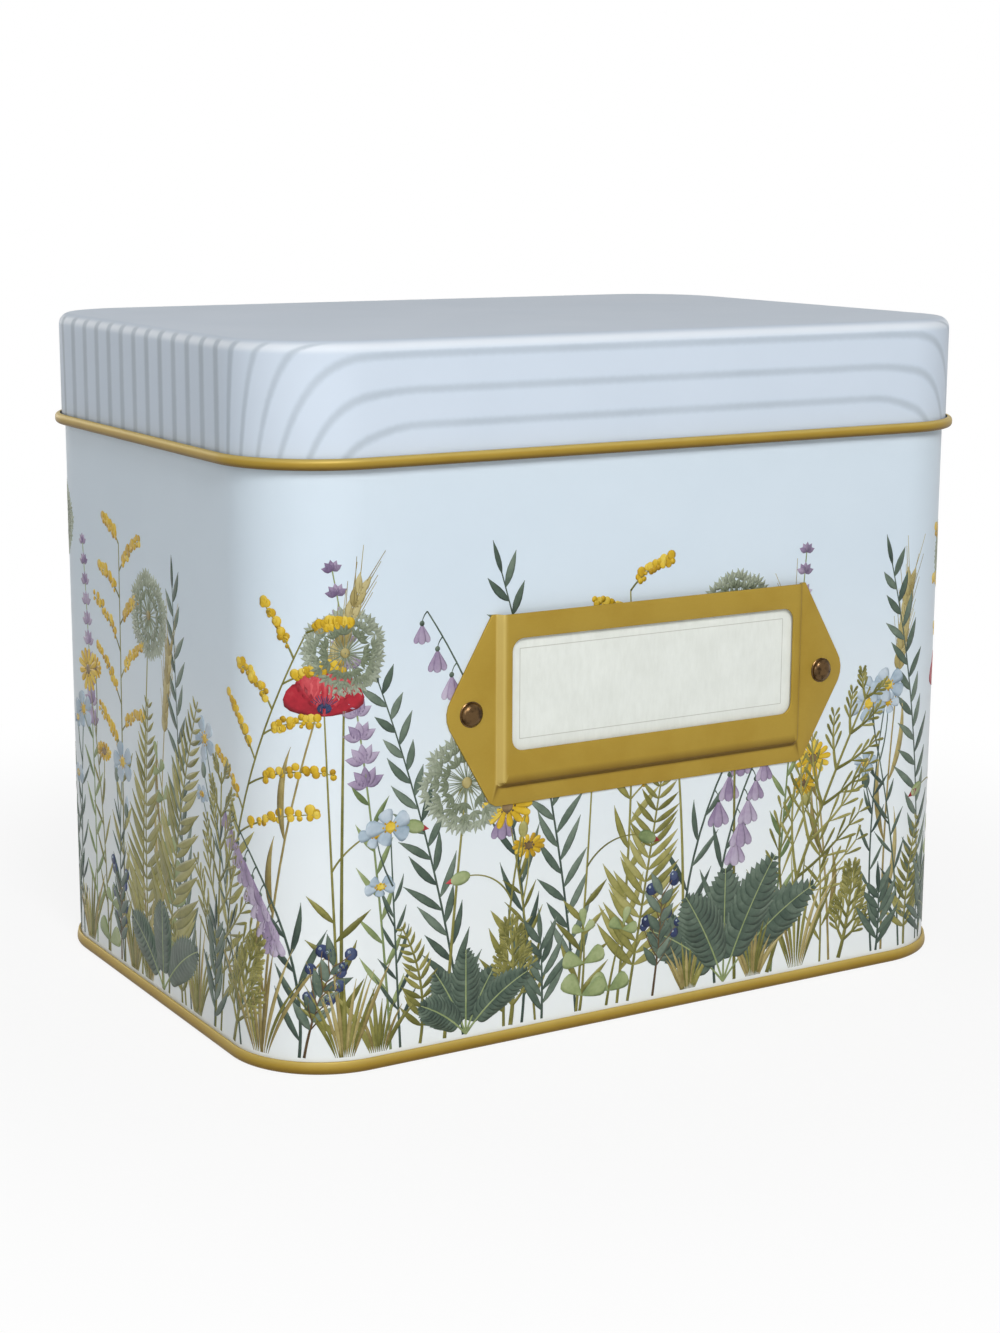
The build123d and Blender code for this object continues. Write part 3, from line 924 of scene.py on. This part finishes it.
# %% Shapes of strokes
def lance(t):
    """sin(pi * t^0.8): pointed at both ends, widest below the middle."""
    return np.sin(np.pi * t**0.8)


def spoon(t):
    """1.1 * t^0.8 * sqrt(1 - t^6): narrow at the foot and round at the tip, like a petal."""
    return 1.1 * t**0.8 * np.sqrt(1 - t**6)


def oval(t):
    """A circle's half-width, sqrt(1 - (2t - 1)^2)."""
    return np.sqrt(np.clip(1 - (2 * t - 1) ** 2, 0, 1))


def tapered(t):
    """Falls evenly towards the tip."""
    return 1 - 0.55 * t


brush = Brush()
luck = np.random.default_rng(29)
about = luck.uniform


def either():
    return luck.choice([-1, 1])


print("a petal's half-width runs", np.round(spoon(spaced(9)), 2))

# %% [markdown]
# Each plant is a short function that only says where its strokes go. The motifs are common meadow
# plants and grasses, drawn from their habit of growth: how leaves sit on a stem, and how a flower
# faces. Every call differs a little, because angles and lengths come from a seeded source.

# %% Stems and leaves
def stem(x, height, ink, width=0.36, lean=8.0, turn=16.0):
    line = draw_line((x, FOOT), 90 + about(-lean, lean), height, about(-turn, turn))
    brush.stroke(ink, line, width, tapered, about(0.3, 0.7))
    return line


def twig(ink, start, heading, length, turn, width=0.2):
    line = draw_line(start, heading, length, turn)
    brush.stroke(ink, line, width, tapered)
    return line


def leaf(ink, start, heading, length, width, turn=0.0, shape=lance, tone=None):
    brush.stroke(ink, draw_line(start, heading, length, turn), width, shape, tone)


def dot(ink, centre, radius, heading=90.0, stretch=1.0, tone=None):
    """A small oval, drawn as a stroke through its middle."""
    half = radius * stretch * along_heading(heading)
    leaf(ink, np.array(centre) - half, heading, 2 * radius * stretch, radius, 0, oval, tone)


def stem_leaves(ink, line, low, high, count, length, width, spread=38):
    """Leaves that take turns to either side of a stem, shorter towards the tip."""
    side = either()
    for share, start, heading in along(line, low, high, count):
        size = length * about(0.8, 1.15) * (1.1 - 0.45 * share)
        leaf(ink, start, heading + side * spread * about(0.8, 1.2), size, width, side * about(-24, 10))
        side = -side


print("a leaf 10 mm long has", len(draw_line((0, FOOT), 90, 10)), "points")


# %% Ferns, grasses and greenery
def fern(x, height):
    line = stem(x, height, "olive", 0.34, 16, 40)
    for share, start, heading in along(line, 0.14, 0.97, int(7 + height / 4.5)):
        length = height * 0.26 * (1.04 - share) ** 0.8 + 0.9
        for side in (-1, 1):
            leaf("olive", start, heading + side * about(48, 62), length, 0.06 * length + 0.22, side * -18)


def tuft(x, height):
    for spread in np.linspace(-30, 30, int(about(8, 13))):
        start, length = (x + spread * 0.06, FOOT), height * about(0.55, 1)
        blade = draw_line(start, 90 - spread * 0.6, length, -spread * about(0.4, 1.4))
        brush.stroke(luck.choice(["khaki", "olive"]), blade, about(0.28, 0.5), lance)


def willow(x, height):
    line = stem(x, height, "slate", 0.28)
    stem_leaves("slate", line, 0.1, 0.96, int(8 + height / 4.5), 10, 0.85)
    leaf("slate", *at(line, 0.99), 7, 0.6)


def coin_leaves(x, height):
    """Round leaves in pairs, as on eucalyptus."""
    line = stem(x, height, "olive", 0.32, 12, 30)
    for share, start, heading in along(line, 0.18, 0.94, int(height / 6)):
        size = about(2.0, 2.8) * (1.2 - 0.6 * share)
        for side in (-1, 1):
            leaf("moss", start, heading + side * about(50, 75), 2.2 * size, size, 0, spoon)
    leaf("moss", *at(line, 0.99), 4, 1.2, 0, spoon)


def barley(x, height):
    """Two rows of grains with long awns, over blades that arch."""
    line = stem(x, height, "khaki", 0.3, 7, 24)
    for _, start, heading in along(line, 0.76, 0.985, 9):
        for side in (-1, 1):
            awn = draw_line(start, heading + side * about(10, 18), about(9, 13))
            brush.stroke("khaki", awn, 0.1, tapered)
            leaf("khaki", start, heading + side * 24, 4.2, 0.8, -side * 14)
    for share in (0.12, 0.3, 0.46):
        start, heading = at(line, share)
        side = either()
        leaf("khaki", start, heading + side * 24, about(16, 24), 0.7, side * -34)


def broad_leaves(x, height):
    """Wide leaves with toothed edges and a pale midrib."""
    for spread in luck.permutation(np.linspace(-56, 56, int(about(3, 6)))):
        rib = draw_line((x, FOOT), 90 - spread * 0.7, height * about(0.8, 1.15), -spread * 0.5)
        for share, start, heading in along(rib, 0.2, 0.96, 13):
            length = height * 0.24 * np.sin(np.pi * share**0.9) + 1.0
            for side in (-1, 1):
                tone = about(0.2, 0.6)
                leaf("slate", start, heading + side * 40, length, 0.28 * length, side * 14, lance, tone)
        brush.stroke("moss", rib, 0.22, tapered, 0.8)


def branching(x, height):
    """A stem that forks into blunt leaf tips, like parsley."""
    line = stem(x, height, "olive", 0.5, 20, 40)
    for share, start, heading in along(line, 0.2, 0.96, 7):
        length = height * 0.36 * (1.2 - share)
        for side in (-1, 1):
            fork = twig("olive", start, heading + side * about(34, 50), length, -side * 20, 0.38)
            for place in (0.35, 0.6, 0.82, 1.0):
                tip, ahead = at(fork, place)
                for turn in (-30, 24):
                    leaf("olive", tip, ahead + turn, length * 0.3 * (1.3 - place) + 1.4, 0.42, 0, spoon)


fern(0, 30)
print("strokes of a trial fern:", sum(map(len, brush.strokes.values())))
brush.strokes.clear()


# %% Open flowers and poppies
def open_flower(centre, radius, ink, eye, tilt, count=5, plump=0.40):
    """Petals round an eye. The tilt flattens the flower, as if seen from the side."""
    first = about(0, 360)
    for k in luck.permutation(count):
        ahead = radius * about(0.9, 1.05) * along_heading(first + 360 * k / count) * [1, tilt]
        heading = np.degrees(np.arctan2(ahead[1], ahead[0]))
        leaf(ink, centre, heading, np.hypot(*ahead), radius * plump, 0, spoon)
    dot(eye, centre, radius * 0.22, 0, 1)
    for angle in np.arange(0, 360, 45):
        dot(eye, centre + radius * 0.3 * along_heading(angle) * [1, tilt], 0.24)


def meadow_flower(x, height, ink="pale", eye="mustard", leaves="slate", count=5, plump=0.40):
    line = stem(x, height, leaves, 0.26, 8, 18)
    stem_leaves(leaves, line, 0.1, 0.66, 9, 8, 0.42, 34)
    radius = about(4.6, 6.4)
    for share in (about(0.5, 0.6), about(0.68, 0.78)):
        start, heading = at(line, share)
        side = either()
        branch = twig(leaves, start, heading + side * about(24, 36), height * about(0.18, 0.26), -side * 22)
        if about(0, 1) < 0.6:
            open_flower(branch[-1], radius * about(0.6, 0.8), ink, eye, about(0.5, 0.9), count, plump)
        else:
            leaf(ink, branch[-1], about(75, 105), 3.6, 1.0)
            dot(leaves, branch[-1], 1.1, 90, 1.5)
    open_flower(line[-1], radius, ink, eye, about(0.7, 1.0), count, plump)


def yellow_daisy(x, height):
    meadow_flower(x, height, ink="mustard", eye="brown", leaves="olive", count=13, plump=0.17)


PETAL_TURNS = (54, -54, 22, -22, 0)
PETAL_SHAPES = (0.95, 0.40, 0.15), (0.95, 0.40, 0.25), (1.0, 0.44, 0.6), (1.0, 0.44, 0.7), (0.84, 0.46, 0.95)


def poppy(x, height):
    """A bowl of overlapping petals round a dark heart, and a bud that nods."""
    line = stem(x, height, "olive", 0.32, 6, 22)
    stem_leaves("olive", line, 0.06, 0.4, 7, 9, 0.7, 44)
    start, heading = at(line, 0.55)
    side = either()
    bud = twig("olive", start, heading + side * 30, height * 0.3, side * 80)[-1]
    leaf("crimson", bud, heading + side * 108, 3.4, 0.7)
    dot("moss", bud, 1.4, heading + side * 108, 1.6)
    size = about(8.0, 10.0)
    for turn, (reach, width, tone) in zip(PETAL_TURNS, PETAL_SHAPES):
        leaf("crimson", line[-1], 90 + turn + about(-6, 6), size * reach, size * width, 0, spoon, tone)
    heart = line[-1] + [0, size * 0.16]
    for spread in np.linspace(-60, 60, 11):
        leaf("navy", heart, 90 - spread, size * about(0.24, 0.34), 0.12, 0, spoon)
    dot("navy", heart, size * 0.12, 0, 1.3, 0.2)


print("petals of a poppy:", len(PETAL_TURNS))

# %% Seeds, sprays, bells and berries
CLOCK_RINGS = (1.0, 28, 0.95), (0.78, 20, 0.5), (0.52, 12, 0.1)


def seed_clock(x, height):
    """A ball of seeds on fine rays, each ending in a small parachute."""
    line = stem(x, height, "olive", 0.4, 5, 10)
    for fan in (-35, 0, 35):
        leaf("olive", line[-1], at(line, 1.0)[1] + 180 + fan, 3.0, 0.5)
    radius = about(7.4, 9.8)
    for ring, count, tone in CLOCK_RINGS:
        for k in range(count):
            ray = draw_line(line[-1], 360 * (k + about(-0.3, 0.3)) / count, radius * ring * about(0.9, 1.04))
            brush.stroke("sage", ray, 0.1, tapered, tone)
            foot, heading = at(ray, 0.86)[0], at(ray, 1.0)[1]
            for fan in (-54, -18, 18, 54):
                leaf("sage", foot, heading + fan, radius * 0.26, 0.42, 0, lance, tone + about(-0.2, 0.1))
    dot("khaki", line[-1], radius * 0.12)


def golden_spray(x, height):
    """Arching side branches with beads of yellow along them."""
    line = stem(x, height, "olive", 0.34, 8, 20)
    stem_leaves("olive", line, 0.08, 0.5, 8, 10, 0.8)
    side = either()
    for share, start, heading in along(line, 0.5, 1.0, 9):
        heading, length = heading + side * about(30, 50), height * about(0.13, 0.2) * (1.7 - share)
        branch = twig("olive", start, heading, length, side * about(16, 46))
        for _, bead, _ in along(branch, 0.25, 1.0, 9):
            dot("mustard", bead + [about(-0.4, 0.4), about(0.4, 1.2)], about(0.6, 1.1))
            dot("mustard", bead - [about(-0.4, 0.4), about(0.0, 0.7)], about(0.4, 0.8))
        side = -side


def bells(x, height):
    """A stem that bows over with bells hanging from it."""
    bow = either()
    line = draw_line((x, FOOT), 90 + bow * 6, height, -bow * about(40, 60))
    brush.stroke("slate", line, 0.32, tapered, 0.4)
    stem_leaves("slate", line, 0.06, 0.45, 7, 12, 0.7, 30)
    for share, start, _ in along(line, 0.52, 1.0, 8):
        size = about(5.4, 6.8) * (1.3 - 0.6 * share)
        mouth = twig("slate", start, -90 + bow * 50, 2.6, -bow * 46, 0.14)[-1]
        for fan, width in ((-16, 0.2), (16, 0.2), (0, 0.26)):
            leaf("lilac", mouth, -90 + fan, size, size * width, fan * 0.8, spoon)
        dot("slate", mouth, 0.55)


def lilac_spike(x, height):
    """Whorls of small petals that close towards the tip, as on sage."""
    line = stem(x, height, "moss", 0.28, 8, 20)
    for share, start, heading in along(line, 0.56, 1.0, 10):
        for fan in (-70, -34, 0, 34, 70):
            leaf("lilac", start, heading + fan, 4.6 * (1.45 - share), 0.9 * (1.45 - share) + 0.25)
    stem_leaves("moss", line, 0.08, 0.52, 10, 8, 0.6)


def berries(x, height):
    """Forked twigs with dark berries and a glint on each."""
    line = stem(x, height, "brown", 0.28, 10, 26)
    side = either()
    for _, start, heading in along(line, 0.3, 1.0, 9):
        leaf("slate", start, heading - side * about(30, 50), about(4, 7), about(0.8, 1.2))
        berry = twig("brown", start, heading + side * about(28, 52), about(4, 8), -side * 20, 0.15)[-1]
        size = about(0.9, 1.4)
        dot("navy", berry, size)
        dot("pale", berry + [-0.3 * size, 0.35 * size], 0.22 * size, 90, 1, 0.9)
        side = -side


print("rays of a seed clock:", sum(count for _, count, _ in CLOCK_RINGS))

# %% [markdown]
# The meadow is planted in rows, as a painter would lay it in: tall and thin at the back, flowers in
# the middle, grasses and leaves along the foot. Each row walks round the tin and takes its plants
# from a shuffled bag, so every side gets some of each. Beside the lock seam, where the two ends of
# the sheet meet, a little of the wall is left to a few plants that are set one by one.

# %% Plant the meadow
FREE_AT_SEAM = 17.0
SEAM_X = HALF_WALK / MM
TALL = [barley, willow, golden_spray, seed_clock, bells, lilac_spike]
MIDDLE = [poppy, meadow_flower, branching, bells, seed_clock, yellow_daisy, coin_leaves]
MIDDLE += [meadow_flower, poppy, fern]
LOW = [tuft, fern, branching, tuft, coin_leaves, broad_leaves, tuft, willow, berries]
BESIDE_SEAM = [(8, fern, 30), (12, lilac_spike, 56), (15, tuft, 16), (-14, willow, 60), (-10, tuft, 20)]


def plant_row(bag, spacing, heights, rise):
    """Plants along the wall, at the spacing give or take a third."""
    x, order = FREE_AT_SEAM - SEAM_X, []
    while x < SEAM_X - FREE_AT_SEAM:
        order = order or list(luck.permutation(len(bag)))
        brush.rise = rise + about(0, 0.02)
        bag[order.pop()](x, about(*heights))
        x += spacing * about(0.67, 1.33)


plant_row(TALL, spacing=13, heights=(72, 98), rise=0.03)
plant_row(MIDDLE, spacing=11, heights=(42, 70), rise=0.05)
plant_row(LOW, spacing=9, heights=(12, 30), rise=0.07)
brush.rise = 0.06
for from_seam, plant, height in BESIDE_SEAM:
    plant(from_seam - np.sign(from_seam) * SEAM_X, height)
print("strokes:", sum(map(len, brush.strokes.values())))

# %% [markdown]
# A wash of watercolour is never even. It pools at the edge of a stroke, thins along it, and takes
# up the grain of the paper. Every point stores how far along and across its stroke it lies, and the
# ink's material turns that into a darker or a paler tint of its own colour.

# %% Inks
INKS = {
    "olive": [(98, 98, 42), (142, 138, 74), (182, 176, 118)],
    "khaki": [(124, 110, 62), (168, 154, 100), (200, 190, 146)],
    "moss": [(96, 114, 72), (140, 154, 104), (182, 190, 148)],
    "slate": [(50, 66, 58), (84, 100, 86), (130, 144, 128)],
    "sage": [(112, 122, 98), (148, 156, 136), (188, 196, 180)],
    "brown": [(76, 58, 36), (114, 92, 60), (150, 128, 92)],
    "mustard": [(170, 132, 22), (208, 172, 40), (228, 206, 98)],
    "crimson": [(118, 22, 36), (172, 38, 52), (210, 96, 100)],
    "lilac": [(116, 98, 130), (156, 140, 166), (194, 184, 202)],
    "pale": [(128, 148, 164), (166, 183, 196), (202, 212, 221)],
    "navy": [(26, 34, 64), (52, 64, 100), (96, 108, 136)],
}


def ink_finish(ink):
    """Tint = the stroke's own tone, paler along it, darker at its edge, broken up by grain."""
    finish = Finish(f"ink_{ink}")
    wash, grain, bloom = finish.attribute("wash"), finish.noise(1500, 3), finish.noise(420, 2)
    darkened = wash.part(2).step(0.55, 1.0)
    tint = wash.part(0) * 0.55 + wash.part(1) * 0.25 + bloom * 0.5 + grain * 0.25 - darkened * 0.2 - 0.28
    stops = [(share, srgb(*colour)) for share, colour in zip((0.08, 0.45, 0.95), INKS[ink])]
    varnish(finish)
    return finish.painted(finish.ramp(tint, stops))


print("inks:", *INKS)


# %% Strokes to solids
def stroke_solids(group, across):
    """A point is line + v * half-width * side, off the wall. Two rows inside the wall close it below."""
    lines, half_widths, rises, tones = (np.array(part) for part in zip(*group))
    ahead = np.gradient(lines, axis=1)
    ahead /= np.linalg.norm(ahead, axis=2, keepdims=True)
    aside = np.stack([ahead[..., 1], -ahead[..., 0]], axis=-1)
    v = np.concatenate([np.linspace(-1, 1, across), [1, -1]])
    flat = lines[:, :, None] + (half_widths[:, :, None] * v)[..., None] * aside[:, :, None]
    out = np.where(np.arange(len(v)) < across, rises[:, None, None], INK_BELOW)
    points = wall_point(flat[..., 0] * MM, flat[..., 1] * MM, out * MM)
    share = spaced(lines.shape[1])[:, None]
    wash = np.stack(np.broadcast_arrays(tones[:, None, None], share, np.abs(v)), axis=-1)
    return points.reshape(-1, 3), wash.reshape(-1, 3)


def stroke_faces(count, stations, ring):
    """A closed ring carried along the stations, with quads across both ends, for every stroke."""
    sides = grid_faces(stations, ring, close_columns=True)
    cap = np.array([[i, i + 1, ring - 2 - i, ring - 1 - i] for i in range(ring // 2 - 1)])
    one = np.concatenate([sides, cap[:, ::-1], cap + (stations - 1) * ring])
    return (one + np.arange(count)[:, None, None] * stations * ring).reshape(-1, 4)


def print_ink(ink):
    """All strokes of one ink as one piece."""
    points, washes, faces, start = [], [], [], 0
    for (name, stations, across), group in brush.strokes.items():
        if name == ink:
            group_points, wash = stroke_solids(group, across)
            faces.append(stroke_faces(len(group), stations, across + 2) + start)
            points.append(group_points)
            washes.append(wash)
            start += len(group_points)
    points = np.concatenate(points)
    faces = outward(points, np.concatenate(faces).tolist())
    piece = new_piece(f"print_{ink}", points, faces, [ink_finish(ink)], smooth_angle=180)
    set_point_attribute(piece, "wash", *np.concatenate(washes).T)
    dress(piece, "tin", "body_enamel")
    print(piece.name, 2 * len(faces), "triangles")


for ink in INKS:
    print_ink(ink)

# %% [markdown]
# ## Paper and board
#
# The label is bare card with one thin frame line. The dividers are soft tints of board, a little
# paler where a thumb has rubbed the tab, and the recipe cards are ruled like any index card. These
# pieces keep the frame's own meshes, so only their finishes are made here. A line on a leaning card
# is measured along the card, from the hinge that the card turns on.

# %% Paper and ruling
LABEL_TINTS = srgb(219, 223, 216), srgb(230, 234, 228)
CARD_TINTS = srgb(231, 225, 209), srgb(244, 240, 228)
BOARD_TINTS = srgb(184, 196, 172), srgb(210, 196, 168), srgb(174, 190, 200), srgb(208, 180, 170)
LINE_GREY = srgb(160, 160, 148)
RULE_BLUE = srgb(150, 172, 192)
RULE_RED = srgb(206, 138, 132)
LINE = 0.16 * MM


def fibrous(finish, tints):
    """Gives the sheet its tooth, and mixes its two tints by clouds and fine long fibres."""
    clouds, tooth = finish.noise(160, 2), finish.noise(4200, 2)
    fibres = finish.noise(1, 4, 0.7, (900, 900, 260))
    finish.set(Roughness=0.78 + 0.12 * fibres, Normal=finish.bump(fibres + tooth, 0.02 * MM, 0.6))
    return finish.mix((clouds * 0.5 + fibres * 0.7).step(0.3, 0.9), *tints)


def line_at(value, place):
    """1 where the value is at the place, 0 beyond half a line's width from it."""
    return 1.0 - (value - place).maths("ABSOLUTE").step(LINE * 0.35, LINE * 0.65)


def between(value, low, high):
    return value.maths("GREATER_THAN", low) * value.maths("LESS_THAN", high)


print("printed lines are", LINE / MM, "mm wide")

# %% Label, dividers and cards
LEAN = np.radians(8)
RULE_PITCH = 6.35 * MM
RULES_FROM, RULES_TO, HEAD_LINE = 6 * MM, 85 * MM, 89 * MM
TAB_LINES = 108 * MM, 114 * MM
RUBBED_FROM, RUBBED_TO = 111 * MM, 118 * MM
FRAME_INSET = 2.2 * MM


def label_finish(half, low, high):
    """Card stock with one thin rectangle printed on it."""
    finish = Finish("label_paper")
    across, up = finish.place.part(0).maths("ABSOLUTE"), finish.place.part(2)
    sides = line_at(across, half) * between(up, low, high)
    ends = (line_at(up, low) + line_at(up, high)) * across.maths("LESS_THAN", half)
    drawn = sides.maths("MAXIMUM", ends) * 0.6
    return finish.painted(finish.mix(drawn, fibrous(finish, LABEL_TINTS), LINE_GREY))


def up_the_card(finish, hinge):
    """How far a point lies up the leaning card from its hinge, in metres."""
    y, z = finish.place.part(1) - hinge[1], finish.place.part(2) - hinge[2]
    return y * np.sin(LEAN) + z * np.cos(LEAN)


def divider_finish(number, hinge):
    """Tinted board. The tab is rubbed pale towards its edge and has two plain lines."""
    finish = Finish(f"divider_board_{number}")
    up = up_the_card(finish, hinge)
    tint = BOARD_TINTS[number % len(BOARD_TINTS)]
    speckled = fibrous(finish, [0.86 * tint, tint])
    rubbed = finish.mix(up.step(RUBBED_FROM, RUBBED_TO) * 0.35, speckled, CARD_TINTS[1])
    lines = line_at(up, TAB_LINES[0]) + line_at(up, TAB_LINES[1])
    return finish.painted(finish.mix(lines * 0.55, rubbed, 0.4 * tint))


def card_finish(number, hinge):
    """An index card: a red head line, and blue rules where `up` modulo the pitch is half a pitch."""
    finish = Finish(f"recipe_card_{number}")
    up = up_the_card(finish, hinge)
    rules = line_at(up.maths("MODULO", RULE_PITCH), RULE_PITCH / 2) * between(up, RULES_FROM, RULES_TO)
    ruled = finish.mix(rules * 0.6, fibrous(finish, CARD_TINTS), RULE_BLUE)
    return finish.painted(finish.mix(line_at(up, HEAD_LINE) * 0.8, ruled, RULE_RED))


def paint_node(name, material):
    """Gives a CAD node its material, in every slot it has."""
    for material_slot in frame["nodes"][name].material_slots:
        material_slot.material = material


frame_line = WINDOW_HALF - FRAME_INSET, WINDOW_LOW + FRAME_INSET, WINDOW_HIGH - FRAME_INSET
paint_node("label_card", label_finish(*frame_line))
hinges = {joint["child"]: joint["pos_m"] for joint in frame["joints"] if "pos_m" in joint}
for body, hinge in hinges.items():
    number = int(body.split("_")[1])
    paint_node(f"divider_{number}", divider_finish(number, hinge))
    paint_node(f"recipe_cards_{number}", card_finish(number, hinge))
print("leaning sections painted:", len(hinges))

# %% [markdown]
# ## Camera
#
# The camera stands a little above the lid, to the left of the front, and looks down by about twelve
# degrees. Its place was worked out from the box's own edges. It is set by a position and three
# angles, and its lens by a focal length in pixels, for a render of the stated height.

# %% Camera
CAMERA_PLACE = Vector((-274.43, -454.96, 172.89)) * MM
YAW, PITCH, ROLL = np.radians([31.04, 11.68, 0.26])
FOCAL_PIXELS = 2421.3
IMAGE_HEIGHT = 1333
SENSOR = 36.0

camera_data = bpy.data.cameras.new("camera")
camera_data.sensor_width = SENSOR
camera_data.lens = FOCAL_PIXELS * SENSOR / IMAGE_HEIGHT
camera_data.clip_start = 0.01
camera = bpy.data.objects.new("camera", camera_data)
# Yaw turns right from +Y, pitch tips down from level, and roll turns about the view.
turns = (-YAW, "Z"), (np.pi / 2 - PITCH, "X"), (ROLL, "Z")
yawed, pitched, rolled = (Matrix.Rotation(angle, 4, axis) for angle, axis in turns)
camera.matrix_world = Matrix.Translation(CAMERA_PLACE) @ yawed @ pitched @ rolled
bpy.context.scene.collection.objects.link(camera)
bpy.context.scene.camera = camera
print("lens", round(camera_data.lens, 1), "mm")

# %% [markdown]
# ## Floor and light
#
# The box stands on a white sweep under soft light. To the camera and to reflections the world is
# plain white, and the floor is mostly white too, so that only a soft part of the shadow stays. A
# lamp above the front lights the long side, and the short side is left to the sky and a weak fill.

# %% Floor
FLOOR_HALF = 3.0


def floor_finish():
    """White to the camera and to mirrors, but for the shadow close to the box."""
    finish = Finish("white_sweep", Roughness=0.9, Base_Color=srgb(246, 246, 246))
    seen = finish.ray("Camera").maths("MAXIMUM", finish.ray("Glossy"))
    distance = finish.node("ShaderNodeVectorMath", {"operation": "LENGTH"}, [finish.place], "Value")
    share = 0.86 + 0.14 * distance.step(0.10, 0.26)
    white = finish.node("ShaderNodeEmission", {}, {"Color": (1, 1, 1), "Strength": 1.0})
    diffuse = Value(finish, finish.shader.outputs[0])
    shown = finish.node("ShaderNodeMixShader", {}, [seen * share, diffuse, white])
    finish.plug(finish.tree.nodes["Material Output"].inputs["Surface"], shown)
    return finish.material


floor_points = np.array([[-1, -1, 0], [1, -1, 0], [1, 1, 0], [-1, 1, 0]]) * FLOOR_HALF
floor = new_piece("floor", floor_points, [[0, 1, 2, 3]], [floor_finish()])
print("floor is", 2 * FLOOR_HALF, "m across")

# %% Light
SKY_STRENGTH = 0.12


def world_light():
    """White to the camera, to mirrors and through glass, a dimmer soft sky to everything else."""
    world = bpy.data.worlds.new("studio")
    world.use_nodes = True
    sky = Graph(world.node_tree)
    seen = sky.ray("Camera")
    for kind in ("Glossy", "Transmission"):
        seen = seen.maths("MAXIMUM", sky.ray(kind))
    background = sky.tree.nodes["Background"].inputs
    sky.plug(background["Color"], (1, 1, 1))
    sky.plug(background["Strength"], SKY_STRENGTH + (1 - SKY_STRENGTH) * seen)
    bpy.context.scene.world = world


def soft_lamp(name, place, size, power):
    """A square white lamp that faces the middle of the box."""
    lamp = bpy.data.lights.new(name, "AREA")
    lamp.size = size
    lamp.energy = power
    stand = bpy.data.objects.new(name, lamp)
    stand.location = place
    ahead = Vector((0, 0, LID_TOP / 2)) - Vector(place)
    stand.rotation_euler = ahead.to_track_quat("-Z", "Y").to_euler()
    bpy.context.scene.collection.objects.link(stand)


world_light()
soft_lamp("key_softbox", place=(-0.36, -1.44, 1.16), size=0.6, power=19.8)
soft_lamp("left_fill", place=(-0.60, -0.66, 0.42), size=0.4, power=1.6)
soft_lamp("back_fill", place=(-0.45, 1.87, 0.45), size=0.9, power=6)
bpy.context.scene.view_settings.view_transform = "Standard"
